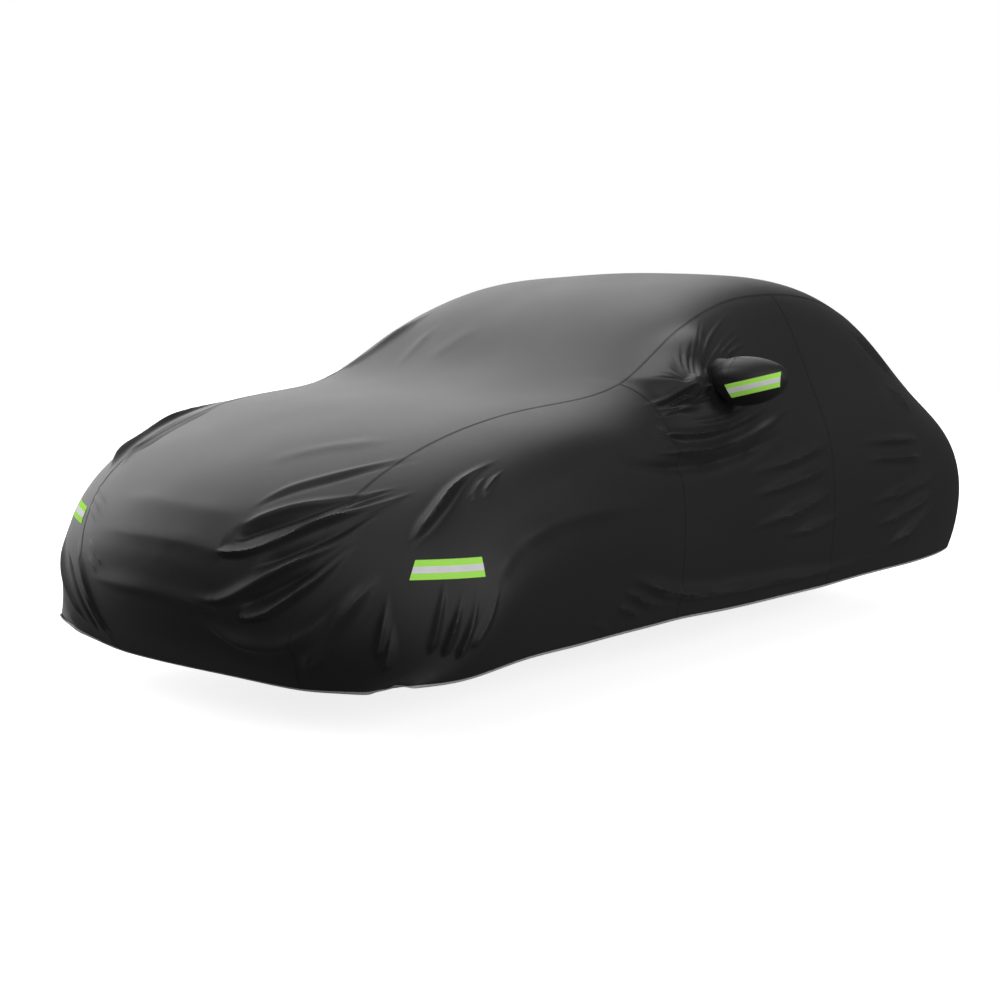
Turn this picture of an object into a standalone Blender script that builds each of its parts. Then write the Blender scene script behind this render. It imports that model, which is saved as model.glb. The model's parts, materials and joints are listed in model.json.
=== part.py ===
"""A fitted cover for a small two-door, as the sewn cloth pieces hang when it is on.

Metres, +Z up, nose towards -Y, left side towards +X. The origin is on the inside of the roof,
where the cover rests. Heights in the tables are above the ground, and lengths are from the
middle of the cover; ORIGIN takes both to the part's own frame.
"""

import bpy
import numpy as np
from mathutils.bvhtree import BVHTree

ORIGIN = (0.0, 0.36, 1.414)      # the inside of the roof, in the tables' frame

CLOTH = 0.002                    # thickness of the cloth
SEAM = 0.0004                    # space between two sewn pieces
BINDING_GAP = 0.0008             # from the hem's edge to the binding
BINDING_WIDTH = 0.008
BINDING_THICKNESS = 0.003
TAPE_THICKNESS = 0.001
TAPE_STEP = 0.008                # longest stretch of tape between two of its points
STRIPE_SHARE = 0.38              # the silver stripe's share of the tape's width
TAPE_MID = 0.7                   # share of the width at the points half way out to the edges
SHARP_ANGLE = 0.7                # edges sharper than this, in radians, are shown sharp

# The cover's sections, from the front hem over the top to the rear hem. In each: the middle
# line, the seam between top and side, the shoulder, the widest line and the hem.
COLUMNS = ("name", "y_top", "z_top", "x_seam", "z_seam", "x_shoulder", "z_shoulder",
           "x_belly", "z_belly", "x_hem", "y_hem", "z_hem")
SECTIONS = (
    ("front hem",    -1.90, 0.15, 0.42, 0.15, 0.57, 0.17, 0.68, 0.19, 0.75, -1.86, 0.21),
    ("valance",      -2.06, 0.29, 0.46, 0.29, 0.69, 0.29, 0.83, 0.27, 0.85, -1.79, 0.22),
    ("bumper",       -2.11, 0.46, 0.49, 0.46, 0.76, 0.45, 0.93, 0.37, 0.89, -1.70, 0.23),
    ("nose lip",     -2.08, 0.60, 0.52, 0.60, 0.79, 0.60, 0.96, 0.45, 0.91, -1.59, 0.25),
    ("nose top",     -1.95, 0.73, 0.55, 0.73, 0.80, 0.73, 0.96, 0.50, 0.91, -1.46, 0.26),
    ("hood front",   -1.66, 0.86, 0.58, 0.85, 0.81, 0.84, 0.95, 0.54, 0.91, -1.28, 0.26),
    ("hood middle",  -1.26, 0.95, 0.62, 0.94, 0.83, 0.90, 0.94, 0.55, 0.90, -1.05, 0.26),
    ("cowl",         -0.86, 0.99, 0.66, 0.97, 0.82, 0.89, 0.92, 0.56, 0.89, -0.80, 0.26),
    ("screen foot",  -0.64, 1.07, 0.70, 1.02, 0.81, 0.93, 0.91, 0.57, 0.88, -0.62, 0.26),
    ("screen",       -0.36, 1.26, 0.70, 1.22, 0.80, 0.97, 0.91, 0.58, 0.88, -0.36, 0.25),
    ("screen head",  -0.02, 1.38, 0.66, 1.35, 0.78, 1.00, 0.91, 0.59, 0.88,  0.00, 0.25),
    ("roof",          0.36, 1.43, 0.63, 1.39, 0.77, 1.01, 0.91, 0.59, 0.88,  0.36, 0.25),
    ("roof rear",     0.76, 1.42, 0.61, 1.38, 0.77, 1.02, 0.91, 0.60, 0.88,  0.76, 0.26),
    ("back glass",    1.14, 1.33, 0.59, 1.29, 0.76, 1.00, 0.90, 0.61, 0.88,  1.10, 0.26),
    ("glass foot",    1.46, 1.15, 0.55, 1.11, 0.73, 0.93, 0.89, 0.60, 0.86,  1.36, 0.26),
    ("deck",          1.72, 0.99, 0.52, 0.96, 0.72, 0.87, 0.88, 0.57, 0.83,  1.54, 0.26),
    ("deck lip",      1.92, 0.86, 0.49, 0.84, 0.70, 0.78, 0.85, 0.52, 0.80,  1.68, 0.26),
    ("tail",          2.04, 0.70, 0.47, 0.69, 0.66, 0.65, 0.80, 0.46, 0.77,  1.77, 0.26),
    ("rear bumper",   2.05, 0.50, 0.44, 0.50, 0.60, 0.48, 0.74, 0.38, 0.73,  1.83, 0.26),
    ("rear hem",      1.94, 0.27, 0.40, 0.27, 0.53, 0.27, 0.63, 0.27, 0.69,  1.89, 0.26),
)

# Rows across the cloth, hem to hem: the share of the way from the middle line to the hem that
# each row has been swept along the cover. A place on the cloth is (section, row), both counted
# from 0, so (9.0, 5.0) is where the screen meets the left seam.
SWEEP = (0.0, 0.10, 0.30, 0.62, 0.84, 0.94, 0.98, 1.0)
ROWS = 14
TOP_X, TOP_DROP = 0.55, 0.28     # of the way from the middle line to the seam, one row out
SIDE_X, SIDE_DROP = 0.75, 0.40   # of the way from the shoulder to the widest line
SKIRT, SKIRT_OUT = 0.65, 0.01    # of the way from the widest line to the hem, and drawn out
LEFT_SEAM, RIGHT_SEAM = 5, 9
DOOR_FRONT, DOOR_REAR = 7.75, 11.05

# Steps of the cloth's grid: (from, to, steps), along the sections and, on one side, the rows
SECTION_STEPS = ((0.0, 1.0, 4), (1.0, 4.6, 18), (4.6, 7.75, 10), (7.75, 8.92, 4),
                 (8.92, 9.42, 4), (9.42, 11.05, 6), (11.05, 14.5, 10), (14.5, 19.0, 10))
ROW_STEPS = ((0.0, 1.0, 2), (1.0, 3.0, 4), (3.0, 3.8, 3), (3.8, 4.4, 3), (4.4, 5.0, 2),
             (5.0, 6.4, 6), (6.4, 7.0, 1))

# Folds: ridges of the cloth on the left (L), the right (R) or both sides alike (B), with the
# half width and height of each in metres, and its line over the cloth as (section, row).
FOLD_COLUMNS = ("name", "side", "width", "height", "line")
FOLDS = (
    ("nose upper",    "L", 0.036, 0.024, ((3.02, 6.15), (3.35, 5.65), (3.66, 5.28), (3.95, 4.70))),
    ("nose main",     "L", 0.036, 0.030, ((2.55, 6.15), (2.75, 5.60), (3.23, 5.24), (3.72, 4.45))),
    ("nose long",     "L", 0.040, 0.024, ((1.55, 6.35), (1.90, 5.50), (2.65, 5.05), (3.15, 4.60))),
    ("nose low",      "L", 0.036, 0.018, ((1.25, 5.90), (1.65, 5.20), (2.30, 4.85), (2.90, 4.50))),
    ("corner broad",  "L", 0.060, 0.024, ((2.50, 4.70), (1.60, 4.72), (0.90, 4.90), (0.20, 5.10))),
    ("corner low",    "L", 0.045, 0.012, ((0.70, 6.30), (0.80, 5.50), (1.40, 4.88), (2.20, 4.70))),
    ("fender pull",   "L", 0.042, 0.030, ((4.60, 4.05), (3.90, 4.10), (3.30, 4.05), (2.80, 4.10))),
    ("corner drop 1", "L", 0.036, 0.016, ((2.40, 3.50), (1.80, 3.25), (1.20, 3.00), (0.50, 2.70))),
    ("corner drop 2", "L", 0.036, 0.018, ((2.45, 2.75), (2.00, 2.55), (1.50, 2.30), (0.90, 1.80))),
    ("crest",         "R", 0.045, 0.030, ((3.85, 9.10), (4.30, 9.45), (5.20, 9.55), (6.30, 9.40))),
    ("far drop 1",    "R", 0.038, 0.016, ((2.60, 9.60), (1.80, 9.45), (1.20, 9.20), (0.30, 8.80))),
    ("far drop 2",    "R", 0.036, 0.016, ((2.50, 10.3), (1.70, 10.2), (1.10, 10.0), (0.40, 9.70))),
    ("pillar roll",   "R", 0.036, 0.014, ((7.60, 9.00), (8.30, 8.72), (9.00, 8.62), (9.60, 8.70))),
    ("mirror swag",   "L", 0.042, 0.026, ((6.10, 3.35), (7.80, 3.05), (9.40, 2.95), (10.5, 3.70))),
    ("mirror brow",   "L", 0.034, 0.014, ((7.50, 3.50), (8.50, 3.50), (9.40, 3.45), (10.0, 3.75))),
    ("sill swag",     "B", 0.040, 0.014, ((6.20, 1.40), (7.50, 0.55), (9.90, 0.40), (12.6, 0.60))),
    ("quarter fan 1", "B", 0.036, 0.012, ((12.5, 2.65), (13.1, 2.70), (13.8, 3.00))),
    ("quarter fan 2", "B", 0.036, 0.012, ((12.6, 2.00), (13.2, 2.20), (13.9, 2.75))),
    ("quarter fan 3", "B", 0.036, 0.012, ((13.0, 1.20), (13.5, 1.70), (14.1, 2.50))),
    ("rear pillar",   "B", 0.038, 0.014, ((12.4, 4.80), (13.0, 4.40), (13.6, 4.10))),
)
FOLD_POINTS = 60                 # points along a fold's line when distances to it are taken

# The mirror pocket, on the left side alone: the grid block that is left out of the side panel
# for it, and its rings from the panel to the tip.
POCKET_BLOCK = (8.92, 9.42, 3.80, 4.40)
POCKET_ROUND = 2.2               # block half widths over which the grid round it is reshaped
POCKET_PULL = 0.035              # how far the panel is drawn out round the pocket
POCKET_REACH = (0.9, 0.9)        # sections and rows over which it is drawn out
RING_COLUMNS = ("x", "y", "z", "half_depth", "half_height")
POCKET_RINGS = (
    (0.870, -0.335, 1.022, 0.078, 0.076),
    (0.925, -0.338, 1.024, 0.086, 0.084),
    (0.980, -0.334, 1.026, 0.080, 0.076),
    (1.025, -0.325, 1.030, 0.062, 0.058),
    (1.053, -0.318, 1.034, 0.036, 0.036),
)
POCKET_TIP = (1.062, -0.315, 1.035)
POCKET_STEPS = 9                 # steps from the panel to the tip

# Tapes: the node's first name, its side, what carries it, the middle of the tape, the way it
# runs, the way it faces, its length, its width, how far its two ends slant, and how far it is
# lifted clear of the cloth's flat facets.
TAPE_COLUMNS = ("name", "side", "carrier", "middle", "along", "facing", "length", "width",
                "slants", "lift")
TAPES = (
    ("front", "left", "side_front", (0.850, -1.760, 0.530), (0.66, 0.75, 0.05),
     (0.75, -0.66, 0.0), 0.195, 0.052, (0.020, -0.005), 0.0009),
    ("front", "right", "side_front", (-0.640, -1.860, 0.570), (-0.86, 0.50, 0.02),
     (-0.50, -0.86, 0.0), 0.195, 0.052, (0.015, -0.005), 0.0009),
    ("mirror", "left", "mirror_pocket", (0.979, -0.408, 1.010), (0.91, 0.32, 0.25),
     (0.45, -0.89, 0.0), 0.164, 0.048, (-0.014, 0.014), 0.0024),
)

# Materials: base colour, roughness and metallic value
FINISHES = {
    "cloth": ((0.030, 0.030, 0.031), 0.50, 0.0),
    "tape": ((0.350, 0.720, 0.100), 0.50, 0.0),
    "stripe": ((0.620, 0.620, 0.640), 0.32, 0.6),
    "binding": ((0.500, 0.500, 0.510), 0.70, 0.0),
}


def between(start, end, share):
    """The value that is a share of the way from start to end."""
    return start + share * (end - start)


def cage():
    """The cage as an array [section, row, xyz], rows from the left hem to the right hem."""
    left = []
    for values in SECTIONS:
        s = dict(zip(COLUMNS, values))
        x = (0.0, TOP_X * s["x_seam"], s["x_seam"], s["x_shoulder"],
             between(s["x_shoulder"], s["x_belly"], SIDE_X), s["x_belly"],
             between(s["x_belly"], s["x_hem"], SKIRT) + SKIRT_OUT, s["x_hem"])
        z = (s["z_top"], between(s["z_top"], s["z_seam"], TOP_DROP), s["z_seam"],
             s["z_shoulder"], between(s["z_shoulder"], s["z_belly"], SIDE_DROP),
             s["z_belly"], between(s["z_belly"], s["z_hem"], SKIRT), s["z_hem"])
        y = [between(s["y_top"], s["y_hem"], share) for share in SWEEP]
        left.append(np.stack([x, y, z], 1))
    left = np.array(left)[:, ::-1]
    right = left[:, :-1][:, ::-1] * (-1, 1, 1)
    return np.concatenate([left, right], 1) - ORIGIN


def basis(at, count):
    """Rows of cubic B-spline weights over count points, at the places in at (0 to count - 1)."""
    at = np.clip(np.asarray(at, float), 0, count - 1)
    first = np.minimum(at.astype(int), count - 2)
    t = at - first
    weights = np.stack([(1 - t) ** 3, 3 * t**3 - 6 * t**2 + 4,
                        -3 * t**3 + 3 * t**2 + 3 * t + 1, t**3], 1) / 6
    rows = np.zeros((len(at), count + 2))
    for k in range(4):
        rows[np.arange(len(at)), first + k] += weights[:, k]
    # the end points are mirrored, so the cloth ends on the cage's own edge
    rows[:, 1] += 2 * rows[:, 0]
    rows[:, 2] -= rows[:, 0]
    rows[:, -2] += 2 * rows[:, -1]
    rows[:, -3] -= rows[:, -1]
    return rows[:, 1:-1]


def smooth_points(places):
    """Points of the smooth cloth at each (section, row)."""
    net = cage()
    over = basis(places[:, 0], net.shape[0])
    across = basis(places[:, 1], net.shape[1])
    return np.einsum("ka,kb,abc->kc", over, across, net, optimize=True)


def steps(table):
    """The grid lines that a table of (from, to, steps) gives."""
    lines = [table[0][0]]
    for low, high, count in table:
        lines += list(np.linspace(low, high, count + 1)[1:])
    return np.array(lines)


def mirrored(places):
    """The same places on the other side of the cloth."""
    return np.asarray(places, float) * (1, -1) + (0, ROWS)


def pocket_away(places, reach):
    """How far each place is from the middle of the pocket's block, in shares of a reach."""
    low_u, high_u, low_v, high_v = POCKET_BLOCK
    return (places - ((low_u + high_u) / 2, (low_v + high_v) / 2)) / reach


def round_the_pocket(places):
    """The grid's places, reshaped so that the pocket's square block becomes round."""
    low_u, high_u, low_v, high_v = POCKET_BLOCK
    half = ((high_u - low_u) / 2, (high_v - low_v) / 2)
    away = pocket_away(places, half)
    square = np.abs(away).max(1)
    rounding = np.clip((POCKET_ROUND - square) / (POCKET_ROUND - 1), 0, 1)
    scale = rounding * (square / np.maximum(np.hypot(*away.T), 1e-6) - 1)
    return places + away * scale[:, None] * half


def grid_normals(points):
    """Outward unit normals of a grid of points."""
    normals = np.cross(np.gradient(points, axis=0), np.gradient(points, axis=1))
    return normals / np.linalg.norm(normals, axis=2, keepdims=True)


def fold_lines():
    """Half width, height and (section, row) line of every fold, the mirrored ones included."""
    for values in FOLDS:
        fold = dict(zip(FOLD_COLUMNS, values))
        line = np.array(fold["line"])
        line = basis(np.linspace(0, len(line) - 1, FOLD_POINTS), len(line)) @ line
        yield fold["width"], fold["height"], line
        if fold["side"] == "B":
            yield fold["width"], fold["height"], mirrored(line)


def lift(places, points):
    """How far the folds and the pocket's pull move each point along its normal."""
    total = np.zeros(len(points))
    fade = np.sqrt(np.sin(np.linspace(0, np.pi, FOLD_POINTS)))
    for width, height, line in fold_lines():
        gaps = np.linalg.norm(points[:, None] - smooth_points(line)[None], axis=2)
        nearest = gaps.argmin(1)
        away = (gaps.min(1) / width) ** 2
        total += height * fade[nearest] * (1 - away / 2) * np.exp(-away)
    total += POCKET_PULL * np.exp(-(pocket_away(places, POCKET_REACH) ** 2).sum(1))
    return total


class Cloth:
    """The whole cloth: its section and row lines, outer points [line, line, xyz] and normals,
    and the cloth's own point in the middle of each cell."""

    def __init__(self):
        half = steps(ROW_STEPS)
        self.over = steps(SECTION_STEPS)
        self.across = np.concatenate([half, ROWS - half[-2::-1]])
        fine = [np.interp(np.arange(0, len(lines) - 0.5, 0.5), np.arange(len(lines)), lines)
                for lines in (self.over, self.across)]
        shape = (len(fine[0]), len(fine[1]), 3)
        places = np.stack(np.meshgrid(*fine, indexing="ij"), 2).reshape(-1, 2)
        places = round_the_pocket(places)
        smooth = smooth_points(places)
        normals = grid_normals(smooth.reshape(shape)).reshape(-1, 3)
        folded = (smooth + normals * lift(places, smooth)[:, None]).reshape(shape)
        self.points = folded[::2, ::2]
        self.middles = folded[1::2, 1::2]
        self.normals = grid_normals(self.points)


def material(finish):
    """The Principled material of one finish, made once."""
    if finish in bpy.data.materials:
        return bpy.data.materials[finish]
    colour, roughness, metallic = FINISHES[finish]
    made = bpy.data.materials.new(finish)
    made.use_nodes = True
    shader = made.node_tree.nodes["Principled BSDF"]
    shader.inputs["Base Color"].default_value = (*colour, 1)
    shader.inputs["Roughness"].default_value = roughness
    shader.inputs["Metallic"].default_value = metallic
    return made


def add_object(name, points, triangles, finish):
    """A mesh object with its faces outwards, without the points that no triangle uses."""
    used, corners = np.unique(np.array(triangles), return_inverse=True)
    points = points[used]
    corners = corners.reshape(-1, 3)
    a, b, c = (points[corners[:, k]] for k in range(3))
    if np.einsum("ij,ij->", a, np.cross(b, c)) < 0:
        corners = corners[:, ::-1]
    mesh = bpy.data.meshes.new(name)
    mesh.from_pydata(points.tolist(), [], corners.tolist())
    mesh.shade_smooth()
    mesh.set_sharp_from_angle(angle=SHARP_ANGLE)
    mesh.materials.append(material(finish))
    made = bpy.data.objects.new(name, mesh)
    bpy.context.scene.collection.objects.link(made)
    return made


def cells(number):
    """The cells of a grid of point numbers, each as its four corners in order."""
    corners = (number[:-1, :-1], number[1:, :-1], number[1:, 1:], number[:-1, 1:])
    return np.stack(corners, 2)


def halved(quads, points, middles=None):
    """Each cell as two triangles, cut along the diagonal that passes closer to the cloth in its
    middle, or else along the shorter one."""
    triangles = []
    for k, (a, b, c, d) in enumerate(quads):
        if middles is None:
            first = np.linalg.norm(points[a] - points[c])
            second = np.linalg.norm(points[b] - points[d])
        else:
            first = np.linalg.norm((points[a] + points[c]) / 2 - middles[k])
            second = np.linalg.norm((points[b] + points[d]) / 2 - middles[k])
        if first <= second:
            triangles += [(a, b, c), (a, c, d)]
        else:
            triangles += [(a, b, d), (b, c, d)]
    return triangles


def shell(name, outer, inner, triangles, finish):
    """A closed sheet: the triangles on the outer points, the same on the inner points, and a
    wall along each open edge. Both sides have the same diagonals, so they never cross."""
    count = len(outer)
    faces = []
    edges = set()
    for a, b, c in triangles:
        faces += [(a, b, c), (a + count, c + count, b + count)]
        edges |= {(a, b), (b, c), (c, a)}
    for a, b in sorted(edges):
        if (b, a) not in edges:
            faces += [(b, a, a + count), (b, a + count, b + count)]
    return add_object(name, np.concatenate([outer, inner]), faces, finish)


def towards(points, aims, distance):
    """The points, each moved a distance towards its aim."""
    step = aims - points
    return points + step / np.linalg.norm(step, axis=-1, keepdims=True) * distance


def block_slices(cloth, block):
    """The slices of section lines and of row lines that a (from, to, from, to) block covers."""
    spans = []
    for lines, low, high in ((cloth.over, *block[:2]), (cloth.across, *block[2:])):
        first, last = (int(np.argmin(abs(lines - at))) for at in (low, high))
        spans.append(slice(first, last + 1))
    return tuple(spans)


def block_rim(cloth, block):
    """Line numbers of the points round a block, in order."""
    sections, rows = block_slices(cloth, block)
    i0, i1, j0, j1 = sections.start, sections.stop - 1, rows.start, rows.stop - 1
    walk = [(i, j0) for i in range(i0, i1)] + [(i1, j) for j in range(j0, j1)]
    walk += [(i, j1) for i in range(i1, i0, -1)] + [(i0, j) for j in range(j1, j0, -1)]
    return tuple(np.array(walk).T)


def panel(name, cloth, sections, rows, hole=None):
    """One sewn panel of the cloth, between two sections and two rows."""
    points = cloth.points.copy()
    if hole:
        rim = block_rim(cloth, hole)
        points[rim] = towards(points[rim], points[rim].mean(0), -SEAM / 2)
    part = block_slices(cloth, (*sections, *rows))
    outer = points[part].copy()
    if sections[0] > cloth.over[0]:
        outer[0] = towards(outer[0], points[part][1], SEAM / 2)
    if sections[1] < cloth.over[-1]:
        outer[-1] = towards(outer[-1], points[part][-2], SEAM / 2)
    if rows[0] > cloth.across[0]:
        outer[:, 0] = towards(outer[:, 0], points[part][:, 1], SEAM / 2)
    if rows[1] < cloth.across[-1]:
        outer[:, -1] = towards(outer[:, -1], points[part][:, -2], SEAM / 2)
    quads = cells(np.arange(outer.shape[0] * outer.shape[1]).reshape(outer.shape[:2]))
    keep = np.ones(quads.shape[:2], bool)
    if hole:
        left_out = block_slices(cloth, hole)
        keep[left_out[0].start - part[0].start:left_out[0].stop - part[0].start - 1,
             left_out[1].start - part[1].start:left_out[1].stop - part[1].start - 1] = False
    middles = cloth.middles[part[0].start:part[0].stop - 1, part[1].start:part[1].stop - 1]
    inner = outer - CLOTH * cloth.normals[part]
    flat = outer.reshape(-1, 3)
    triangles = halved(quads[keep], flat, middles[keep])
    return shell(name, flat, inner.reshape(-1, 3), triangles, "cloth")


def pocket(name, cloth):
    """The mirror pocket: a pouch that stands in the hole of its panel, open to the inside."""
    rim = block_rim(cloth, POCKET_BLOCK)
    foot = towards(cloth.points[rim], cloth.points[rim].mean(0), SEAM / 2)
    ring = dict(zip(RING_COLUMNS, POCKET_RINGS[0]))
    turn = np.arctan2((foot[:, 2] + ORIGIN[2] - ring["z"]) / ring["half_height"],
                      (foot[:, 1] + ORIGIN[1] - ring["y"]) / ring["half_depth"])
    path = [foot]
    for values in POCKET_RINGS:
        ring = dict(zip(RING_COLUMNS, values))
        path.append(np.stack([np.full(len(turn), ring["x"]),
                              ring["y"] + ring["half_depth"] * np.cos(turn),
                              ring["z"] + ring["half_height"] * np.sin(turn)], 1) - ORIGIN)
    tip = np.array(POCKET_TIP) - ORIGIN
    path.append(np.tile(tip, (len(turn), 1)))
    at = np.linspace(0, len(path) - 1, POCKET_STEPS + 1)[:-1]
    tube = np.einsum("ka,abc->kbc", basis(at, len(path)), np.array(path))
    tube = np.concatenate([(foot - CLOTH * cloth.normals[rim])[None], tube])
    around = np.roll(tube, -1, axis=1) - np.roll(tube, 1, axis=1)
    outward = np.cross(around, np.gradient(tube, axis=0))
    outward /= np.linalg.norm(outward, axis=2, keepdims=True)
    if np.sum(outward * (tube - tube.mean(1, keepdims=True))) < 0:
        outward = -outward
    number = np.arange(tube.shape[0] * tube.shape[1]).reshape(tube.shape[:2])
    number = np.concatenate([number, number[:, :1]], 1)
    outer = np.concatenate([tube.reshape(-1, 3), [tip]])
    inner = (tube - CLOTH * outward).reshape(-1, 3)
    inner = np.concatenate([inner, [tip - (CLOTH, 0, 0)]])
    triangles = halved(cells(number).reshape(-1, 4), outer)
    triangles += [(a, len(outer) - 1, b) for a, b in zip(number[-1, :-1], number[-1, 1:])]
    return shell(name, outer, inner, triangles, "cloth")


def tape(values):
    """A tape on its carrier, and the silver stripe along the middle of the tape."""
    row = dict(zip(TAPE_COLUMNS, values))
    along = np.array(row["along"]) / np.linalg.norm(row["along"])
    facing = np.array(row["facing"]) - np.dot(row["facing"], along) * along
    facing /= np.linalg.norm(facing)
    up = np.cross(facing, along)
    up *= np.sign(up[2])
    columns = np.array((-1, -TAPE_MID, -STRIPE_SHARE, 0, STRIPE_SHARE, TAPE_MID, 1)) / 2
    lengths = np.linspace(0, 1, int(np.ceil(row["length"] / TAPE_STEP)) + 1)[:, None]
    start = -row["length"] / 2 + row["slants"][0] * columns
    end = row["length"] / 2 + row["slants"][1] * columns
    run = start + (end - start) * lengths
    above = np.array(row["middle"]) - ORIGIN + facing + run[..., None] * along
    above += (columns * row["width"])[:, None] * up
    carrier = bpy.data.objects[f"{row['carrier']}_{row['side']}"].data
    tree = BVHTree.FromPolygons([v.co for v in carrier.vertices],
                                [tuple(f.vertices) for f in carrier.polygons])
    laid = np.array([tuple(tree.ray_cast(at, -facing)[0]) for at in above.reshape(-1, 3)])
    laid = laid.reshape(above.shape)
    for kind, part, low in (("tape", laid, row["lift"]),
                            ("stripe", laid[:, 2:-2], row["lift"] + TAPE_THICKNESS + SEAM)):
        number = np.arange(part.shape[0] * part.shape[1]).reshape(part.shape[:2])
        inner = (part + facing * low).reshape(-1, 3)
        outer = inner + facing * TAPE_THICKNESS
        triangles = halved(cells(number).reshape(-1, 4), outer)
        shell(f"{row['name']}_{kind}_{row['side']}", outer, inner, triangles, kind)


def binding(cloth):
    """The narrow binding that runs round the whole hem, edge to edge with the panels."""
    rim = block_rim(cloth, (cloth.over[0], cloth.over[-1], cloth.across[0], cloth.across[-1]))
    edge, normals = cloth.points[rim], cloth.normals[rim]
    inside = cloth.points[np.clip(rim[0], 1, len(cloth.over) - 2),
                          np.clip(rim[1], 1, len(cloth.across) - 2)]
    out = np.cross(np.roll(edge, -1, axis=0) - np.roll(edge, 1, axis=0), normals)
    out *= np.sign(np.sum(out * (edge - inside), axis=1, keepdims=True))
    out /= np.linalg.norm(out, axis=1, keepdims=True)
    middle = edge - normals * CLOTH / 2
    half = normals * BINDING_THICKNESS / 2
    near = middle + out * BINDING_GAP
    far = near + out * BINDING_WIDTH
    points = np.stack([near - half, near + half, far + half, far - half], 1)
    number = np.arange(points.shape[0] * points.shape[1]).reshape(points.shape[:2])
    number = np.concatenate([number, number[:1]])
    number = np.concatenate([number, number[:, :1]], 1)
    flat = points.reshape(-1, 3)
    return add_object("hem_binding", flat, halved(cells(number).reshape(-1, 4), flat), "binding")


def main():
    """Removes what the scene holds, then makes every piece of the cover."""
    for old in list(bpy.data.objects):
        bpy.data.objects.remove(old, do_unlink=True)
    cloth = Cloth()
    ends = (cloth.over[0], DOOR_FRONT, DOOR_REAR, cloth.over[-1])
    panel("top_panel", cloth, (ends[0], ends[-1]), (LEFT_SEAM, RIGHT_SEAM))
    for side, rows, hole in (("left", (0, LEFT_SEAM), POCKET_BLOCK),
                             ("right", (RIGHT_SEAM, ROWS), None)):
        panel(f"side_front_{side}", cloth, ends[0:2], rows)
        panel(f"side_door_{side}", cloth, ends[1:3], rows, hole)
        panel(f"side_rear_{side}", cloth, ends[2:4], rows)
    pocket("mirror_pocket_left", cloth)
    for values in TAPES:
        tape(values)
    binding(cloth)


if __name__ == "__main__":
    main()
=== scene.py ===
"""The fitted cover as it looks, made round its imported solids: fine cloth with its folds, the
mirror pocket, seams and stitches, tapes, the bound hem, and a plain studio.

Metres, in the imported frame. The cover's tables are in heights above the ground and lengths from
the middle of the cover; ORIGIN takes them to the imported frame.
"""

import json
import math

import bpy
import numpy as np
from mathutils import Matrix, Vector
from mathutils.bvhtree import BVHTree

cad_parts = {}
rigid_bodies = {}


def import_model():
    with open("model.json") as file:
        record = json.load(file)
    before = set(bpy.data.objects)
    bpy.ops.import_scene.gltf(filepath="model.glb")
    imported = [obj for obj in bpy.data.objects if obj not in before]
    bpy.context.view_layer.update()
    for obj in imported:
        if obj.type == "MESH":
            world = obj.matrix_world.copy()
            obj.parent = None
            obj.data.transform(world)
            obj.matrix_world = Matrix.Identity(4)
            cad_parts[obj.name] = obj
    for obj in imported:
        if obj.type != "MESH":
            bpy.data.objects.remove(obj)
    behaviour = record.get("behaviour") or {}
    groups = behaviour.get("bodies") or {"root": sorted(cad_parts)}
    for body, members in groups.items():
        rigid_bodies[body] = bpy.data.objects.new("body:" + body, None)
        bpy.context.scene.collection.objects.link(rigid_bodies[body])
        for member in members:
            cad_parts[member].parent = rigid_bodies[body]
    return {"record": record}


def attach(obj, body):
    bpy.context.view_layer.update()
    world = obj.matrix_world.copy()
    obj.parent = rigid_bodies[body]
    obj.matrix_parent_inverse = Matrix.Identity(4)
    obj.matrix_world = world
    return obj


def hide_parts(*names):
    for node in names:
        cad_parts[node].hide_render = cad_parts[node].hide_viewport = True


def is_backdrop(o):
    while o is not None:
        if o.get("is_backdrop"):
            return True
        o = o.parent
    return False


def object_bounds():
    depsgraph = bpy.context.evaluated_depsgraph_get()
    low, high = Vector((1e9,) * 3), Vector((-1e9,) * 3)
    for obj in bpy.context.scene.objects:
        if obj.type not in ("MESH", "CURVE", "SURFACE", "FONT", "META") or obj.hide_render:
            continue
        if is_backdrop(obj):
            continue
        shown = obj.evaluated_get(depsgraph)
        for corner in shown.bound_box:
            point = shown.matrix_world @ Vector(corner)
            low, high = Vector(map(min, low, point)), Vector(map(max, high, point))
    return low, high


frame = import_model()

bl_info = {
    "name": "Fitted cover",
    "version": (1, 0, 0),
    "blender": (4, 5, 0),
    "location": "3D View > Sidebar > Cover",
    "description": "Makes a fitted cover with its folds, seams, tapes and bound hem",
    "category": "Add Mesh",
}

SOLID_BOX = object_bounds()
BODY = "root"
ORIGIN = (0.0, 0.36, 1.414)      # the inside of the roof, in the tables' frame
SLOTS = {row["slot"]: row["base_color"][:3] for row in frame["record"]["materials"]}

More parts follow.
